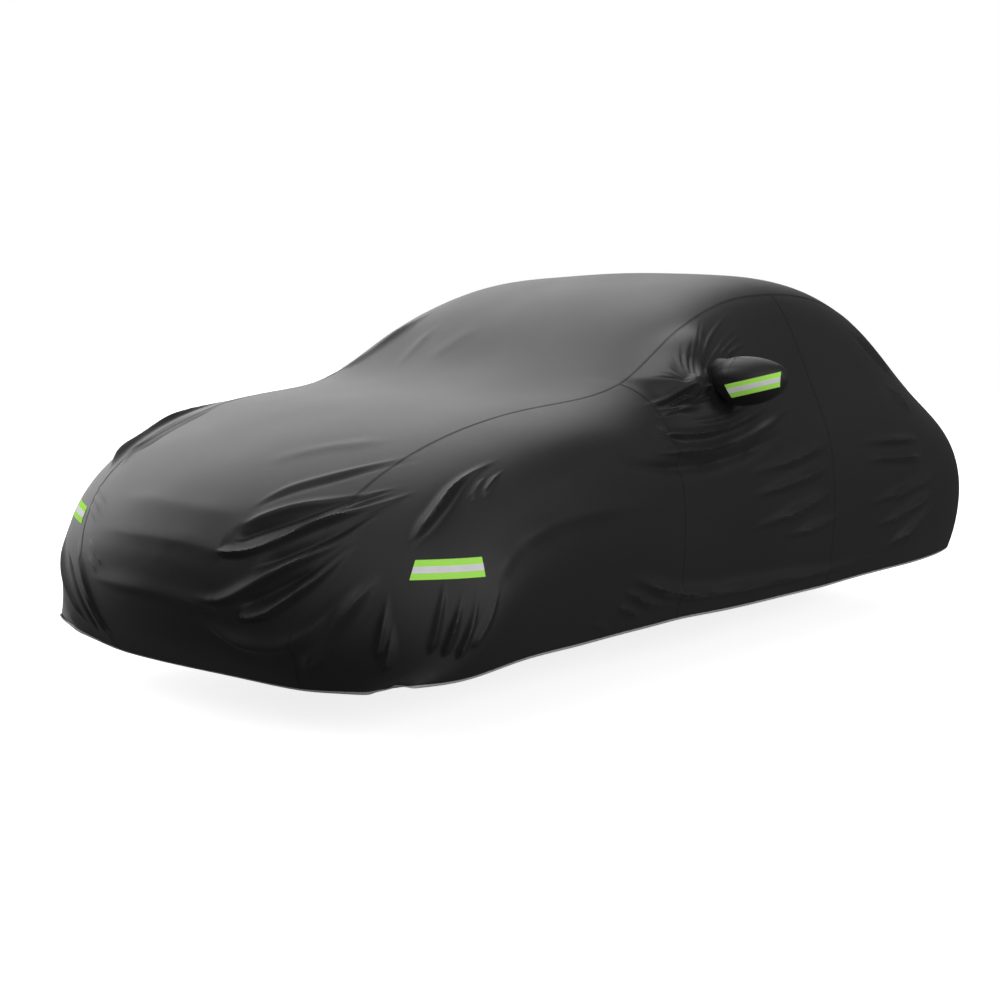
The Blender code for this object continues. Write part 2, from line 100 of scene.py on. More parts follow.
# The cover's sections, from the front hem over the top to the rear hem. In each: the middle
# line, the seam between top and side, the shoulder, the widest line and the hem.
SECTION_COLUMNS = ("name", "y_top", "z_top", "x_seam", "z_seam", "x_shoulder", "z_shoulder",
                   "x_belly", "z_belly", "x_hem", "y_hem", "z_hem")
SECTIONS = (
    ("front hem",    -1.90, 0.15, 0.42, 0.15, 0.57, 0.17, 0.68, 0.19, 0.75, -1.86, 0.21),
    ("valance",      -2.06, 0.29, 0.46, 0.29, 0.69, 0.29, 0.83, 0.27, 0.85, -1.79, 0.22),
    ("bumper",       -2.11, 0.46, 0.49, 0.46, 0.76, 0.45, 0.93, 0.37, 0.89, -1.70, 0.23),
    ("nose lip",     -2.08, 0.60, 0.52, 0.60, 0.79, 0.60, 0.96, 0.45, 0.91, -1.59, 0.25),
    ("nose top",     -1.95, 0.73, 0.55, 0.73, 0.80, 0.73, 0.96, 0.50, 0.91, -1.46, 0.26),
    ("hood front",   -1.66, 0.86, 0.58, 0.85, 0.81, 0.84, 0.95, 0.54, 0.91, -1.28, 0.26),
    ("hood middle",  -1.26, 0.95, 0.62, 0.94, 0.83, 0.90, 0.94, 0.55, 0.90, -1.05, 0.26),
    ("cowl",         -0.86, 0.99, 0.66, 0.97, 0.82, 0.89, 0.92, 0.56, 0.89, -0.80, 0.26),
    ("screen foot",  -0.64, 1.07, 0.70, 1.02, 0.81, 0.93, 0.91, 0.57, 0.88, -0.62, 0.26),
    ("screen",       -0.36, 1.26, 0.70, 1.22, 0.80, 0.97, 0.91, 0.58, 0.88, -0.36, 0.25),
    ("screen head",  -0.02, 1.38, 0.66, 1.35, 0.78, 1.00, 0.91, 0.59, 0.88,  0.00, 0.25),
    ("roof",          0.36, 1.43, 0.63, 1.39, 0.77, 1.01, 0.91, 0.59, 0.88,  0.36, 0.25),
    ("roof rear",     0.76, 1.42, 0.61, 1.38, 0.77, 1.02, 0.91, 0.60, 0.88,  0.76, 0.26),
    ("back glass",    1.14, 1.33, 0.59, 1.29, 0.76, 1.00, 0.90, 0.61, 0.88,  1.10, 0.26),
    ("glass foot",    1.46, 1.15, 0.55, 1.11, 0.73, 0.93, 0.89, 0.60, 0.86,  1.36, 0.26),
    ("deck",          1.72, 0.99, 0.52, 0.96, 0.72, 0.87, 0.88, 0.57, 0.83,  1.54, 0.26),
    ("deck lip",      1.92, 0.86, 0.49, 0.84, 0.70, 0.78, 0.85, 0.52, 0.80,  1.68, 0.26),
    ("tail",          2.04, 0.70, 0.47, 0.69, 0.66, 0.65, 0.80, 0.46, 0.77,  1.77, 0.26),
    ("rear bumper",   2.05, 0.50, 0.44, 0.50, 0.60, 0.48, 0.74, 0.38, 0.73,  1.83, 0.26),
    ("rear hem",      1.94, 0.27, 0.40, 0.27, 0.53, 0.27, 0.63, 0.27, 0.69,  1.89, 0.26),
)

# A place on the cloth is (section, row), both counted from 0. Rows run from the left hem to the
# right hem. SWEEP is the share of the way from the middle line to the hem that each row has been
# swept along the cover.
SWEEP = (0.0, 0.10, 0.30, 0.62, 0.84, 0.94, 0.98, 1.0)
LAST, ROWS = 19, 14              # the last section and the last row
TOP_X, TOP_DROP = 0.55, 0.28     # of the way from the middle line to the seam, one row out
SIDE_X, SIDE_DROP = 0.75, 0.40   # of the way from the shoulder to the widest line
SKIRT, SKIRT_OUT = 0.65, 0.01    # of the way from the widest line to the hem, and drawn out
LEFT_SEAM, RIGHT_SEAM = 5, 9
DOOR_FRONT, DOOR_REAR = 7.75, 11.05

# Steps of the fine grid: (from, to, steps). Beside each seam lies a close line on both sides.
FINE_SECTIONS = (
    (0.0, 1.0, 16), (1.0, 4.6, 124), (4.6, 7.715, 44), (7.785, 8.92, 66), (8.92, 9.42, 32),
    (9.42, 11.015, 44), (11.085, 14.5, 44), (14.5, 19.0, 40),
)
FINE_ROWS = (
    (0.0, 1.0, 14), (1.0, 3.0, 46), (3.0, 3.8, 32), (3.8, 4.4, 36), (4.4, 4.95, 34),
    (5.05, 6.2, 44), (6.2, 7.0, 9),
)
BESIDE_DOOR_SEAM, BESIDE_LONG_SEAM = 0.012, 0.016

# The sewn panels: sections and rows from and to, and the flat cut's width, length and area
PANEL_COLUMNS = ("name", "sections", "rows", "width", "length", "area")
PANELS = (
    ("top_panel", (0, LAST), (LEFT_SEAM, RIGHT_SEAM), 1.40, 5.45, 6.2),
    ("side_front_left", (0, DOOR_FRONT), (0, LEFT_SEAM), 0.95, 1.92, 1.19),
    ("side_door_left", (DOOR_FRONT, DOOR_REAR), (0, LEFT_SEAM), 1.20, 1.17, 1.19),
    ("side_rear_left", (DOOR_REAR, LAST), (0, LEFT_SEAM), 1.16, 2.20, 1.71),
    ("side_front_right", (0, DOOR_FRONT), (RIGHT_SEAM, ROWS), 0.95, 1.92, 1.17),
    ("side_door_right", (DOOR_FRONT, DOOR_REAR), (RIGHT_SEAM, ROWS), 1.20, 1.17, 1.13),
    ("side_rear_right", (DOOR_REAR, LAST), (RIGHT_SEAM, ROWS), 1.16, 2.20, 1.71),
)

# Creases: the side (L, R, or B for both), half width and height, how much narrower the crease
# is on the right of its line, the shares of its length over which it fades in and out, and its
# line over the cloth as (section, row). The right one of both is wider and lower.
CREASE_COLUMNS = ("side", "width", "height", "steep", "fades", "line")
CREASES = (
    # the left of the nose, from the top down
    ("L", 0.014, 0.006, 1.0, (0.3, 0.6),
     ((3.50, 6.04), (3.96, 5.84), (4.26, 5.48), (4.60, 5.12), (4.84, 4.76))),
    ("L", 0.014, -0.006, 1.0, (0.3, 0.6),
     ((3.38, 6.02), (3.84, 5.80), (4.14, 5.44), (4.48, 5.08), (4.70, 4.75))),
    ("L", 0.016, 0.014, 0.7, (0.2, 0.6),
     ((3.10, 6.02), (3.40, 5.76), (3.64, 5.42), (3.80, 5.06), (4.10, 4.60))),
    ("L", 0.022, -0.024, 1.0, (0.12, 0.6),
     ((2.82, 6.02), (3.04, 5.86), (3.32, 5.50), (3.60, 5.22), (3.80, 4.94), (3.96, 4.72))),
    ("L", 0.015, 0.026, 0.7, (0.05, 0.5),
     ((2.62, 6.14), (2.58, 5.84), (2.76, 5.58), (3.06, 5.30), (3.34, 5.08), (3.54, 4.86),
      (3.80, 4.62), (4.02, 4.48))),
    ("L", 0.009, 0.008, 0.8, (0.3, 0.5),
     ((3.10, 5.28), (3.42, 5.16), (3.62, 4.96), (3.84, 4.82), (3.98, 4.64))),
    ("L", 0.008, 0.006, 0.8, (0.3, 0.5), ((3.30, 5.30), (3.62, 5.14), (3.86, 4.90), (4.10, 4.70))),
    ("L", 0.024, -0.020, 1.0, (0.2, 0.5),
     ((2.32, 5.68), (2.62, 5.26), (3.04, 4.96), (3.34, 4.80), (3.60, 4.60))),
    ("L", 0.024, 0.026, 0.7, (0.3, 0.5),
     ((1.74, 6.38), (1.64, 6.00), (2.14, 5.50), (2.58, 5.12), (2.92, 4.80), (3.20, 4.62))),
    ("L", 0.017, -0.016, 1.0, (0.2, 0.5),
     ((1.60, 5.80), (1.85, 5.40), (2.22, 5.05), (2.60, 4.82))),
    ("L", 0.020, 0.027, 0.7, (0.06, 0.5),
     ((1.46, 5.78), (1.50, 5.44), (1.84, 5.12), (2.22, 4.86), (2.66, 4.72), (3.00, 4.66))),
    ("L", 0.038, 0.024, 0.8, (0.3, 0.5),
     ((1.44, 6.42), (0.96, 5.98), (0.86, 5.38), (1.14, 4.90), (1.68, 4.64), (2.06, 4.54))),
    ("L", 0.042, 0.030, 0.6, (0.2, 0.5), ((0.44, 4.92), (1.26, 4.56), (1.94, 4.38), (2.50, 4.26))),
    ("L", 0.022, 0.036, 0.6, (0.25, 0.6),
     ((2.94, 4.14), (3.34, 4.10), (3.76, 4.08), (4.16, 4.14), (4.54, 4.16), (4.88, 4.08))),
    ("L", 0.009, 0.009, 0.8, (0.3, 0.4), ((3.96, 3.86), (4.22, 3.92), (4.50, 3.98))),
    ("L", 0.009, 0.009, 0.8, (0.3, 0.4), ((4.10, 3.78), (4.40, 3.84), (4.70, 3.90))),
    ("L", 0.030, 0.004, 1.0, (0.3, 0.3), ((4.30, 6.42), (4.64, 6.24), (4.88, 5.88), (5.04, 5.42))),
    # across the nose, where the cloth bends over what it covers
    ("B", 0.040, 0.003, 1.0, (0.3, 0.3),
     ((3.42, 8.36), (3.48, 7.54), (3.46, 6.98), (3.38, 6.42), (3.32, 5.96))),
    ("L", 0.045, 0.005, 0.6, (0.3, 0.04),
     ((2.70, 8.30), (2.76, 7.30), (2.76, 6.72), (2.68, 6.32), (2.60, 6.08))),
    ("L", 0.040, 0.010, 0.6, (0.3, 0.04),
     ((1.64, 8.62), (1.72, 7.68), (1.72, 7.08), (1.64, 6.46), (1.52, 6.08))),
    ("L", 0.007, 0.003, 1.0, (0.4, 0.4), ((2.82, 6.94), (2.52, 6.92), (2.20, 6.92))),
    ("L", 0.007, 0.003, 1.0, (0.4, 0.4), ((2.84, 6.80), (2.44, 6.76), (2.14, 6.76))),
    ("L", 0.007, 0.003, 1.0, (0.4, 0.4), ((3.00, 6.66), (2.62, 6.58), (2.34, 6.56))),
    ("R", 0.008, 0.002, 1.0, (0.4, 0.4), ((2.75, 7.30), (2.50, 7.33), (2.20, 7.35))),
    ("L", 0.008, 0.002, 1.0, (0.4, 0.4), ((2.70, 6.30), (2.50, 6.31), (2.30, 6.32))),
    # below the left tape
    ("L", 0.016, 0.014, 0.8, (0.2, 0.6), ((0.86, 3.74), (1.28, 3.86), (1.74, 4.00), (2.16, 4.10))),
    ("L", 0.018, 0.016, 0.8, (0.2, 0.6), ((0.60, 3.30), (1.15, 3.65), (1.72, 3.90))),
    ("L", 0.013, 0.018, 0.8, (0.2, 0.6), ((1.14, 2.52), (1.64, 3.02), (2.18, 3.32), (2.52, 3.48))),
    ("L", 0.013, 0.018, 0.8, (0.2, 0.6), ((1.26, 1.96), (1.60, 2.44), (2.04, 2.84), (2.56, 3.14))),
    ("L", 0.013, 0.018, 0.8, (0.2, 0.6), ((1.48, 1.48), (1.80, 1.98), (2.24, 2.52), (2.72, 2.94))),
    ("L", 0.014, 0.014, 0.8, (0.2, 0.6), ((1.82, 1.54), (2.22, 1.84), (2.64, 2.22), (2.98, 2.48))),
    # the far corner of the nose
    ("R", 0.018, 0.011, 0.8, (0.3, 0.2), ((2.30, 9.20), (1.78, 8.90), (1.16, 8.76), (0.32, 8.86))),
    ("R", 0.016, -0.013, 1.0, (0.3, 0.2),
     ((2.02, 9.78), (1.48, 9.44), (0.82, 9.30), (0.28, 9.36))),
    ("R", 0.013, -0.010, 1.0, (0.4, 0.2), ((1.30, 9.04), (0.76, 8.96), (0.38, 9.00))),
    ("R", 0.020, 0.012, 0.8, (0.2, 0.3),
     ((0.40, 9.70), (1.10, 10.00), (1.70, 10.20), (2.50, 10.30))),
    ("R", 0.008, 0.004, 1.0, (0.3, 0.4), ((2.20, 8.44), (2.08, 8.24), (1.94, 8.10))),
    ("R", 0.008, 0.004, 1.0, (0.3, 0.4), ((2.38, 8.62), (2.24, 8.42), (2.08, 8.26))),
    ("R", 0.008, 0.004, 1.0, (0.3, 0.4), ((2.05, 8.62), (1.90, 8.42), (1.76, 8.28))),
    ("R", 0.010, 0.005, 1.0, (0.2, 0.6), ((3.50, 9.14), (3.32, 8.62), (3.14, 8.28))),
    ("R", 0.010, 0.005, 1.0, (0.2, 0.6), ((3.28, 9.08), (3.10, 8.62), (2.92, 8.30))),
    ("R", 0.010, 0.004, 1.0, (0.2, 0.6), ((3.05, 9.00), (2.90, 8.70), (2.75, 8.40))),
    ("R", 0.024, 0.019, 0.3, (0.35, 0.4),
     ((3.85, 9.10), (3.90, 9.25), (4.20, 9.40), (4.60, 9.50), (5.10, 9.55), (5.70, 9.50),
      (6.20, 9.40))),
    ("R", 0.020, 0.008, 0.7, (0.3, 0.5), ((3.90, 8.75), (4.30, 9.00), (4.90, 9.10), (5.60, 9.05))),
    ("R", 0.025, -0.010, 1.0, (0.2, 0.4), ((4.20, 8.80), (4.90, 8.82), (5.70, 8.85))),
    # the screen
    ("R", 0.034, 0.014, 0.8, (0.3, 0.4),
     ((7.70, 8.95), (8.00, 8.75), (8.50, 8.60), (8.90, 8.50), (9.30, 8.45))),
    ("R", 0.030, 0.004, 1.0, (0.4, 0.4), ((7.50, 7.85), (8.30, 7.98), (8.80, 8.00))),
    ("R", 0.030, 0.004, 1.0, (0.4, 0.4), ((7.80, 7.50), (8.10, 7.55), (8.50, 7.45), (8.80, 7.40))),
    # the cloth drawn from the screen to the mirror pocket, and the gathers in it
    ("L", 0.120, 0.060, 0.4, (0.14, 0.7),
     ((8.02, 3.96), (8.50, 4.36), (8.80, 4.62), (9.10, 4.82), (9.40, 4.94))),
    ("L", 0.006, -0.007, 1.0, (0.1, 0.6), ((8.27, 4.22), (8.16, 4.46), (8.01, 4.79))),
    ("L", 0.006, -0.005, 1.0, (0.1, 0.6), ((8.25, 4.24), (8.20, 4.48), (8.16, 4.74))),
    ("L", 0.006, -0.007, 1.0, (0.1, 0.6), ((8.25, 4.27), (8.28, 4.50), (8.35, 4.74))),
    ("L", 0.006, -0.006, 1.0, (0.1, 0.6), ((8.27, 4.28), (8.32, 4.55), (8.46, 4.78))),
    ("L", 0.006, -0.007, 1.0, (0.1, 0.6), ((8.27, 4.28), (8.36, 4.55), (8.59, 4.84))),
    ("L", 0.006, -0.007, 1.0, (0.1, 0.6), ((8.28, 4.25), (8.47, 4.58), (8.82, 4.87))),
    ("L", 0.007, -0.008, 1.0, (0.1, 0.6), ((8.32, 4.28), (8.63, 4.59), (9.03, 4.85))),
    ("L", 0.008, -0.009, 1.0, (0.1, 0.6), ((8.34, 4.22), (8.82, 4.66), (9.48, 4.98))),
    ("L", 0.010, 0.009, 0.6, (0.2, 0.6), ((8.40, 4.18), (8.86, 4.52), (9.34, 4.72), (9.90, 4.86))),
    ("L", 0.008, 0.009, 0.8, (0.2, 0.6), ((8.70, 4.22), (9.00, 4.40), (9.30, 4.52), (9.93, 4.68))),
    ("L", 0.008, 0.009, 0.8, (0.2, 0.6), ((8.96, 4.32), (9.20, 4.42), (9.56, 4.50), (9.96, 4.58))),
    ("L", 0.008, 0.008, 0.8, (0.3, 0.6),
     ((9.20, 4.36), (9.40, 4.39), (9.67, 4.42), (10.00, 4.47))),
    ("L", 0.008, 0.006, 0.8, (0.3, 0.6), ((9.36, 4.28), (9.56, 4.31), (9.82, 4.36))),
    # the neck of the mirror pocket, and the cloth that hangs below it
    ("L", 0.030, 0.020, 0.8, (0.4, 0.25),
     ((8.10, 4.24), (8.40, 4.22), (8.70, 4.22), (8.95, 4.26))),
    ("L", 0.016, 0.018, 0.5, (0.5, 0.1),
     ((7.50, 4.37), (7.89, 4.25), (8.27, 4.14), (8.66, 4.08), (8.89, 4.08))),
    ("L", 0.009, -0.016, 1.0, (0.3, 0.2),
     ((7.70, 4.26), (8.00, 4.15), (8.30, 4.07), (8.72, 3.97))),
    ("L", 0.010, 0.013, 0.6, (0.5, 0.1),
     ((7.57, 4.22), (7.90, 4.12), (8.20, 4.02), (8.54, 3.92), (8.83, 3.90))),
    ("L", 0.010, 0.009, 0.7, (0.4, 0.3), ((7.57, 4.00), (7.90, 3.97), (8.23, 3.90), (8.64, 3.77))),
    ("L", 0.026, -0.022, 1.0, (0.4, 0.4),
     ((5.94, 3.32), (6.92, 3.04), (8.08, 2.84), (8.90, 2.80), (9.60, 2.90), (10.22, 3.10))),
    ("L", 0.024, 0.030, 0.6, (0.4, 0.4),
     ((6.60, 3.46), (7.76, 3.14), (8.56, 3.02), (9.30, 3.06), (9.96, 3.28), (10.40, 3.50))),
    ("L", 0.018, 0.020, 0.6, (0.4, 0.4),
     ((7.06, 3.80), (7.60, 3.60), (8.16, 3.36), (8.86, 3.30), (9.46, 3.38), (10.06, 3.58))),
    ("L", 0.014, -0.010, 1.0, (0.4, 0.4), ((7.28, 3.94), (7.68, 3.52), (8.16, 3.20))),
    ("L", 0.014, 0.011, 0.7, (0.4, 0.4), ((8.20, 3.66), (8.70, 3.50), (9.20, 3.54), (9.70, 3.72))),
    # the sides
    ("B", 0.050, 0.009, 0.7, (0.3, 0.5),
     ((2.62, 2.40), (3.46, 2.84), (4.34, 2.72), (5.62, 2.52), (7.58, 2.32))),
    ("B", 0.026, 0.020, 0.7, (0.6, 0.25), ((9.20, 2.52), (10.10, 2.56), (11.00, 2.80))),
    ("B", 0.026, 0.020, 0.7, (0.6, 0.25), ((9.20, 2.16), (10.10, 2.24), (10.99, 2.46))),
    ("B", 0.026, 0.020, 0.7, (0.6, 0.25), ((9.24, 1.66), (10.10, 1.78), (10.98, 2.06))),
    ("B", 0.022, 0.016, 0.7, (0.5, 0.4), ((9.96, 1.42), (10.62, 1.50), (11.20, 1.64))),
    ("B", 0.024, 0.022, 0.7, (0.5, 0.3), ((11.60, 2.74), (12.40, 2.70), (13.30, 2.72))),
    ("B", 0.024, 0.022, 0.7, (0.5, 0.3), ((11.60, 2.44), (12.50, 2.40), (13.42, 2.38))),
    ("B", 0.024, 0.022, 0.7, (0.5, 0.3), ((11.60, 1.70), (12.70, 1.80), (13.84, 2.06))),
    ("B", 0.024, 0.022, 0.7, (0.5, 0.3), ((11.80, 1.22), (12.80, 1.42), (13.70, 1.76))),
    ("B", 0.024, 0.022, 0.7, (0.5, 0.4), ((12.08, 0.54), (12.76, 0.96), (13.88, 1.54))),
    ("B", 0.020, 0.014, 0.8, (0.4, 0.4), ((12.80, 3.90), (13.10, 3.55), (13.40, 3.35))),
    ("B", 0.014, 0.010, 1.0, (0.3, 0.5), ((12.50, 4.75), (13.00, 4.35), (13.50, 4.10))),
    ("B", 0.012, -0.008, 1.0, (0.3, 0.5), ((12.45, 4.62), (12.95, 4.22), (13.40, 4.00))),
    ("B", 0.012, -0.008, 1.0, (0.3, 0.5), ((12.60, 4.85), (13.10, 4.47), (13.60, 4.20))),
    # along the hem of the sides
    ("B", 0.026, 0.026, 0.6, (0.2, 0.5),
     ((6.20, 1.40), (6.92, 0.96), (7.96, 0.60), (9.32, 0.56), (10.38, 0.52), (11.50, 0.44),
      (12.24, 0.50))),
    ("B", 0.014, 0.016, 0.7, (0.2, 0.5), ((6.12, 1.14), (6.50, 0.84), (6.84, 0.58), (7.86, 0.34))),
    ("B", 0.012, 0.013, 0.8, (0.2, 0.4), ((6.02, 0.82), (6.32, 0.54), (6.60, 0.34))),
    ("B", 0.012, 0.007, 0.8, (0.3, 0.4), ((5.40, 0.55), (5.65, 0.36), (5.90, 0.20))),
    # the tail
    ("B", 0.034, 0.014, 0.7, (0.3, 0.5),
     ((15.60, 4.30), (16.40, 4.60), (17.20, 4.90), (17.90, 5.40))),
    ("B", 0.026, 0.010, 0.8, (0.3, 0.5),
     ((16.40, 4.20), (17.10, 4.50), (17.80, 4.80), (18.40, 5.20))),
    ("B", 0.024, 0.009, 0.8, (0.3, 0.5),
     ((15.90, 3.70), (16.80, 3.90), (17.70, 4.30), (18.50, 4.60))),
    ("B", 0.020, 0.008, 0.8, (0.3, 0.5),
     ((16.60, 2.90), (17.40, 2.70), (18.20, 2.30), (18.80, 1.90))),
    ("B", 0.020, 0.007, 0.8, (0.3, 0.5), ((16.90, 3.40), (17.70, 3.30), (18.50, 3.00))),
)
FAR_WIDTH, FAR_HEIGHT = 1.5, 0.6  # a mirrored crease against the one that the photo shows
CREASE_POINTS = 40               # points along a crease's line when distances to it are taken
CREASE_REACH = 3                 # half widths beyond which a crease isn't felt
UNEVEN, WANDER = 0.18, 0.045     # how much a crease's height wanders, and over what length
PHASE_STEP = 1.7                 # between the wander of one crease and that of the next
NARROWING = 0.45                 # how much narrower a crease is where it has faded
CRISP = 1.6                      # 2 rounds the crest of a crease, and less makes it sharper
SWELL_SEED = 7
SWELLS = 16                      # slow waves that keep the cloth from being perfectly smooth
SWELL_LENGTHS = (0.3, 0.8)
SWELL_HEIGHT = 0.0003

# The mirror pocket: the sections and rows of the grid left out of the side for it, and its rings
POCKET_BLOCK = ((8.92, 9.42), (3.80, 4.40))
POCKET_MIDDLE, POCKET_HALF = np.mean(POCKET_BLOCK, axis=1), np.ptp(POCKET_BLOCK, axis=1) / 2
POCKET_ROUND = 2.2               # block half widths over which the grid round it is reshaped
POCKET_PULL = 0.035              # how far the panel is drawn out round the pocket
POCKET_REACH = (0.9, 0.9)        # sections and rows over which it is drawn out
POCKET_EDGE = 0.95               # the share of its rim at which the folds have faded out
POCKET_CALM = 0.5                # over which share of its rim they do
RING_COLUMNS = ("x", "y", "z", "half_depth", "half_height")
POCKET_RINGS = (
    (0.870, -0.337, 1.023, 0.085, 0.082),
    (0.925, -0.338, 1.024, 0.086, 0.084),
    (0.980, -0.334, 1.026, 0.080, 0.076),
    (1.025, -0.325, 1.030, 0.062, 0.058),
    (1.053, -0.318, 1.034, 0.036, 0.036),
)
POCKET_TIP = (1.062, -0.315, 1.035)
POCKET_STEPS = 60
POCKET_SEAM = 14                 # the step at which the pocket is sewn to its neck
POCKET_STITCH = POCKET_SEAM + 2  # the step along which its stitches run
# Across that seam: steps past it, width in steps, and height
POCKET_SEAM_SHAPE = ((0, 0.8, -0.0006), (2, 1.2, 0.0004))
# Gathers round the pocket: their number, phase and height, and the steps over which they fade
POCKET_GATHERS = ((7, 0.4, 0.0010), (13, 2.1, 0.0008), (23, 1.3, 0.0005))
GATHER_FADE = 9.0
POCKET_WEAVE = 1.2               # of the pocket's cloth to its width, when the weave is laid on

# Tapes: side, carrier, middle, the way it runs, the way it faces, length, width, and how far
# its two ends slant
TAPE_COLUMNS = ("name", "side", "carrier", "middle", "along", "facing", "length", "width",
                "slants")
TAPES = (
    ("front", "left", "side_front", (0.850, -1.760, 0.530), (0.66, 0.75, 0.05),
     (0.75, -0.66, 0.0), 0.195, 0.052, (0.020, -0.005)),
    ("front", "right", "side_front", (-0.640, -1.860, 0.570), (-0.86, 0.50, 0.02),
     (-0.50, -0.86, 0.0), 0.195, 0.052, (0.015, -0.005)),
    ("mirror", "left", "mirror_pocket", (0.985, -0.406, 1.011), (0.91, 0.32, 0.25),
     (0.45, -0.89, 0.0), 0.176, 0.048, (-0.014, 0.014)),
)
TAPE_STEP, TAPE_LINES = 0.003, 19  # of its grid along it, and lines across it
STRIPE_LINES = (6, 13)           # the lines from and to which the stripe covers
TAPE_EASES = 3                   # rounds of smoothing, because a tape is stiffer than cloth
TAPE_LIFT, STRIPE_LIFT = 0.0008, 0.0002  # above the cloth, and above the tape

BINDING_SIDES = 12               # of the binding's flat oval
SEAM_FALL = 0.5                  # of a seam's ridge, on the line next to it
STITCH_PLACES = (0.3, 0.9)       # of the way from the first to the second line past a seam
STITCH_SUNK = 0.6                # of the thread's radius above the cloth
STITCH_SIDES = 6                 # of a stitch's round thread
HEM_STITCH_IN = 0.004            # from the hem to its line of stitches
SHARP = math.radians(55)         # edges that turn by more than this are shown sharp

# The photo's camera, in the tables' frame: its place, heading, tilt and roll, and its lens in
# widths of the frame
CAMERA_AT = (3.59715, -4.95947, 1.17298)
CAMERA_YAW, CAMERA_TILT, CAMERA_ROLL = 0.67796, 0.10645, 0.01842
CAMERA_LENS = 1.57609
SENSOR = 36.0

# Lights: all suns, with their place, what they are aimed at, the angle they fill, and power
LIGHT_COLUMNS = ("name", "place", "aim", "angle", "power")
LIGHTS = (
    ("front", (3.0, -3.6, 2.6), (0.0, 0.0, 0.5), 0.9, 0.9),
    ("side", (4.0, 0.4, 2.2), (0.0, 0.0, 0.5), 0.3, 0.9),
)
# The studio's light: the way to its brightest part, behind and above the cover, how bright it is
# there and elsewhere, and the cosines between which it fades
SKY_FROM = (-0.78, 0.24, 0.58)
SKY_BRIGHT, SKY_DIM = 2.5, 0.05
SKY_FADE = (0.58, 0.92)
FLOOR_SIZE, FLOOR_COLOUR, FLOOR_GLOW = 60.0, (0.9, 0.9, 0.9), 0.80
WHITE = (1.0, 1.0, 1.0)

THREAD_PITCH = 0.0016            # between two threads of the cloth's weave
WEAVE = 2 * math.pi / THREAD_PITCH
RIBS = WEAVE / 1.5               # of the hem's binding
LATTICE = 1400.0                 # of the tape, in radians a metre


def length(name, description, default, **limits):
    """A length that a user would change."""
    return bpy.props.FloatProperty(name=name, description=description, default=default,
                                   subtype="DISTANCE", unit="LENGTH", **limits)


def colour(name, description, default):
    """A colour that a user would change."""
    return bpy.props.FloatVectorProperty(name=name, description=description, default=default,
                                         subtype="COLOR", min=0, max=1)


class CoverSizes(bpy.types.PropertyGroup):
    """Sizes that a user would change."""
    cloth: length("Cloth", "Thickness of the cloth", 0.002, min=0.001, max=0.003)
    seam_gap: length("Seam gap", "Space between two sewn panels", 0.00001)
    seam_roll: length("Seam roll", "How far a panel's sewn edge turns in", 0.0002)
    seam_ridge: length("Seam ridge", "Height of the folded seam allowance", 0.0001)
    stitch_pitch: length("Stitch pitch", "From one stitch to the next", 0.0060)
    stitch_length: length("Stitch length", "Length of a stitch", 0.0042)
    thread: length("Thread", "Radius of the sewing thread", 0.0005)
    tape: length("Tape", "Thickness of the reflective tape", 0.0006)
    binding_width: length("Binding width", "Width of the hem's binding", 0.008)
    binding_thickness: length("Binding thickness", "Thickness of the hem's binding", 0.003)


class CoverColours(bpy.types.PropertyGroup):
    """Colours that a user would change."""
    cloth: colour("Cloth", "Colour of the coated cloth", (0.017, 0.017, 0.018))
    binding: colour("Binding", "Colour of the hem's binding", SLOTS["binding"])
    tape: colour("Tape", "Colour of the tape", (0.44, 0.90, 0.13))
    stripe: colour("Stripe", "Colour of the tape's silver stripe", SLOTS["stripe"])
    thread: colour("Thread", "Colour of the sewing thread", (0.03, 0.03, 0.032))


# ---------------------------------------------------------------- the cloth's shape


def between(start, end, share):
    """The value that is a share of the way from start to end."""
    return start + share * (end - start)


def rows(columns, table):
    """The rows of a table, as dictionaries of its columns."""
    return [dict(zip(columns, values)) for values in table]


def cage():
    """The cage as an array [section, row, xyz], rows from the left hem to the right hem."""
    left = []
    for s in rows(SECTION_COLUMNS, SECTIONS):
        x = (0.0, TOP_X * s["x_seam"], s["x_seam"], s["x_shoulder"],
             between(s["x_shoulder"], s["x_belly"], SIDE_X), s["x_belly"],
             between(s["x_belly"], s["x_hem"], SKIRT) + SKIRT_OUT, s["x_hem"])
        z = (s["z_top"], between(s["z_top"], s["z_seam"], TOP_DROP), s["z_seam"],
             s["z_shoulder"], between(s["z_shoulder"], s["z_belly"], SIDE_DROP),
             s["z_belly"], between(s["z_belly"], s["z_hem"], SKIRT), s["z_hem"])
        y = [between(s["y_top"], s["y_hem"], share) for share in SWEEP]
        left.append(np.stack([x, y, z], 1))
    left = np.array(left)[:, ::-1]
    right = left[:, :-1][:, ::-1] * (-1, 1, 1)
    return np.concatenate([left, right], 1) - ORIGIN


def basis(at, count):
    """Rows of cubic B-spline weights over count points, at the places in at (0 to count - 1)."""
    at = np.clip(np.asarray(at, float), 0, count - 1)
    first = np.minimum(at.astype(int), count - 2)
    t = at - first
    weights = np.stack([(1 - t) ** 3, 3 * t**3 - 6 * t**2 + 4,
                        -3 * t**3 + 3 * t**2 + 3 * t + 1, t**3], 1) / 6
    spread = np.zeros((len(at), count + 2))
    for k in range(4):
        spread[np.arange(len(at)), first + k] += weights[:, k]
    # the end points are mirrored, so the cloth ends on the cage's own edge
    spread[:, 1] += 2 * spread[:, 0]
    spread[:, 2] -= spread[:, 0]
    spread[:, -2] += 2 * spread[:, -1]
    spread[:, -3] -= spread[:, -1]
    return spread[:, 1:-1]


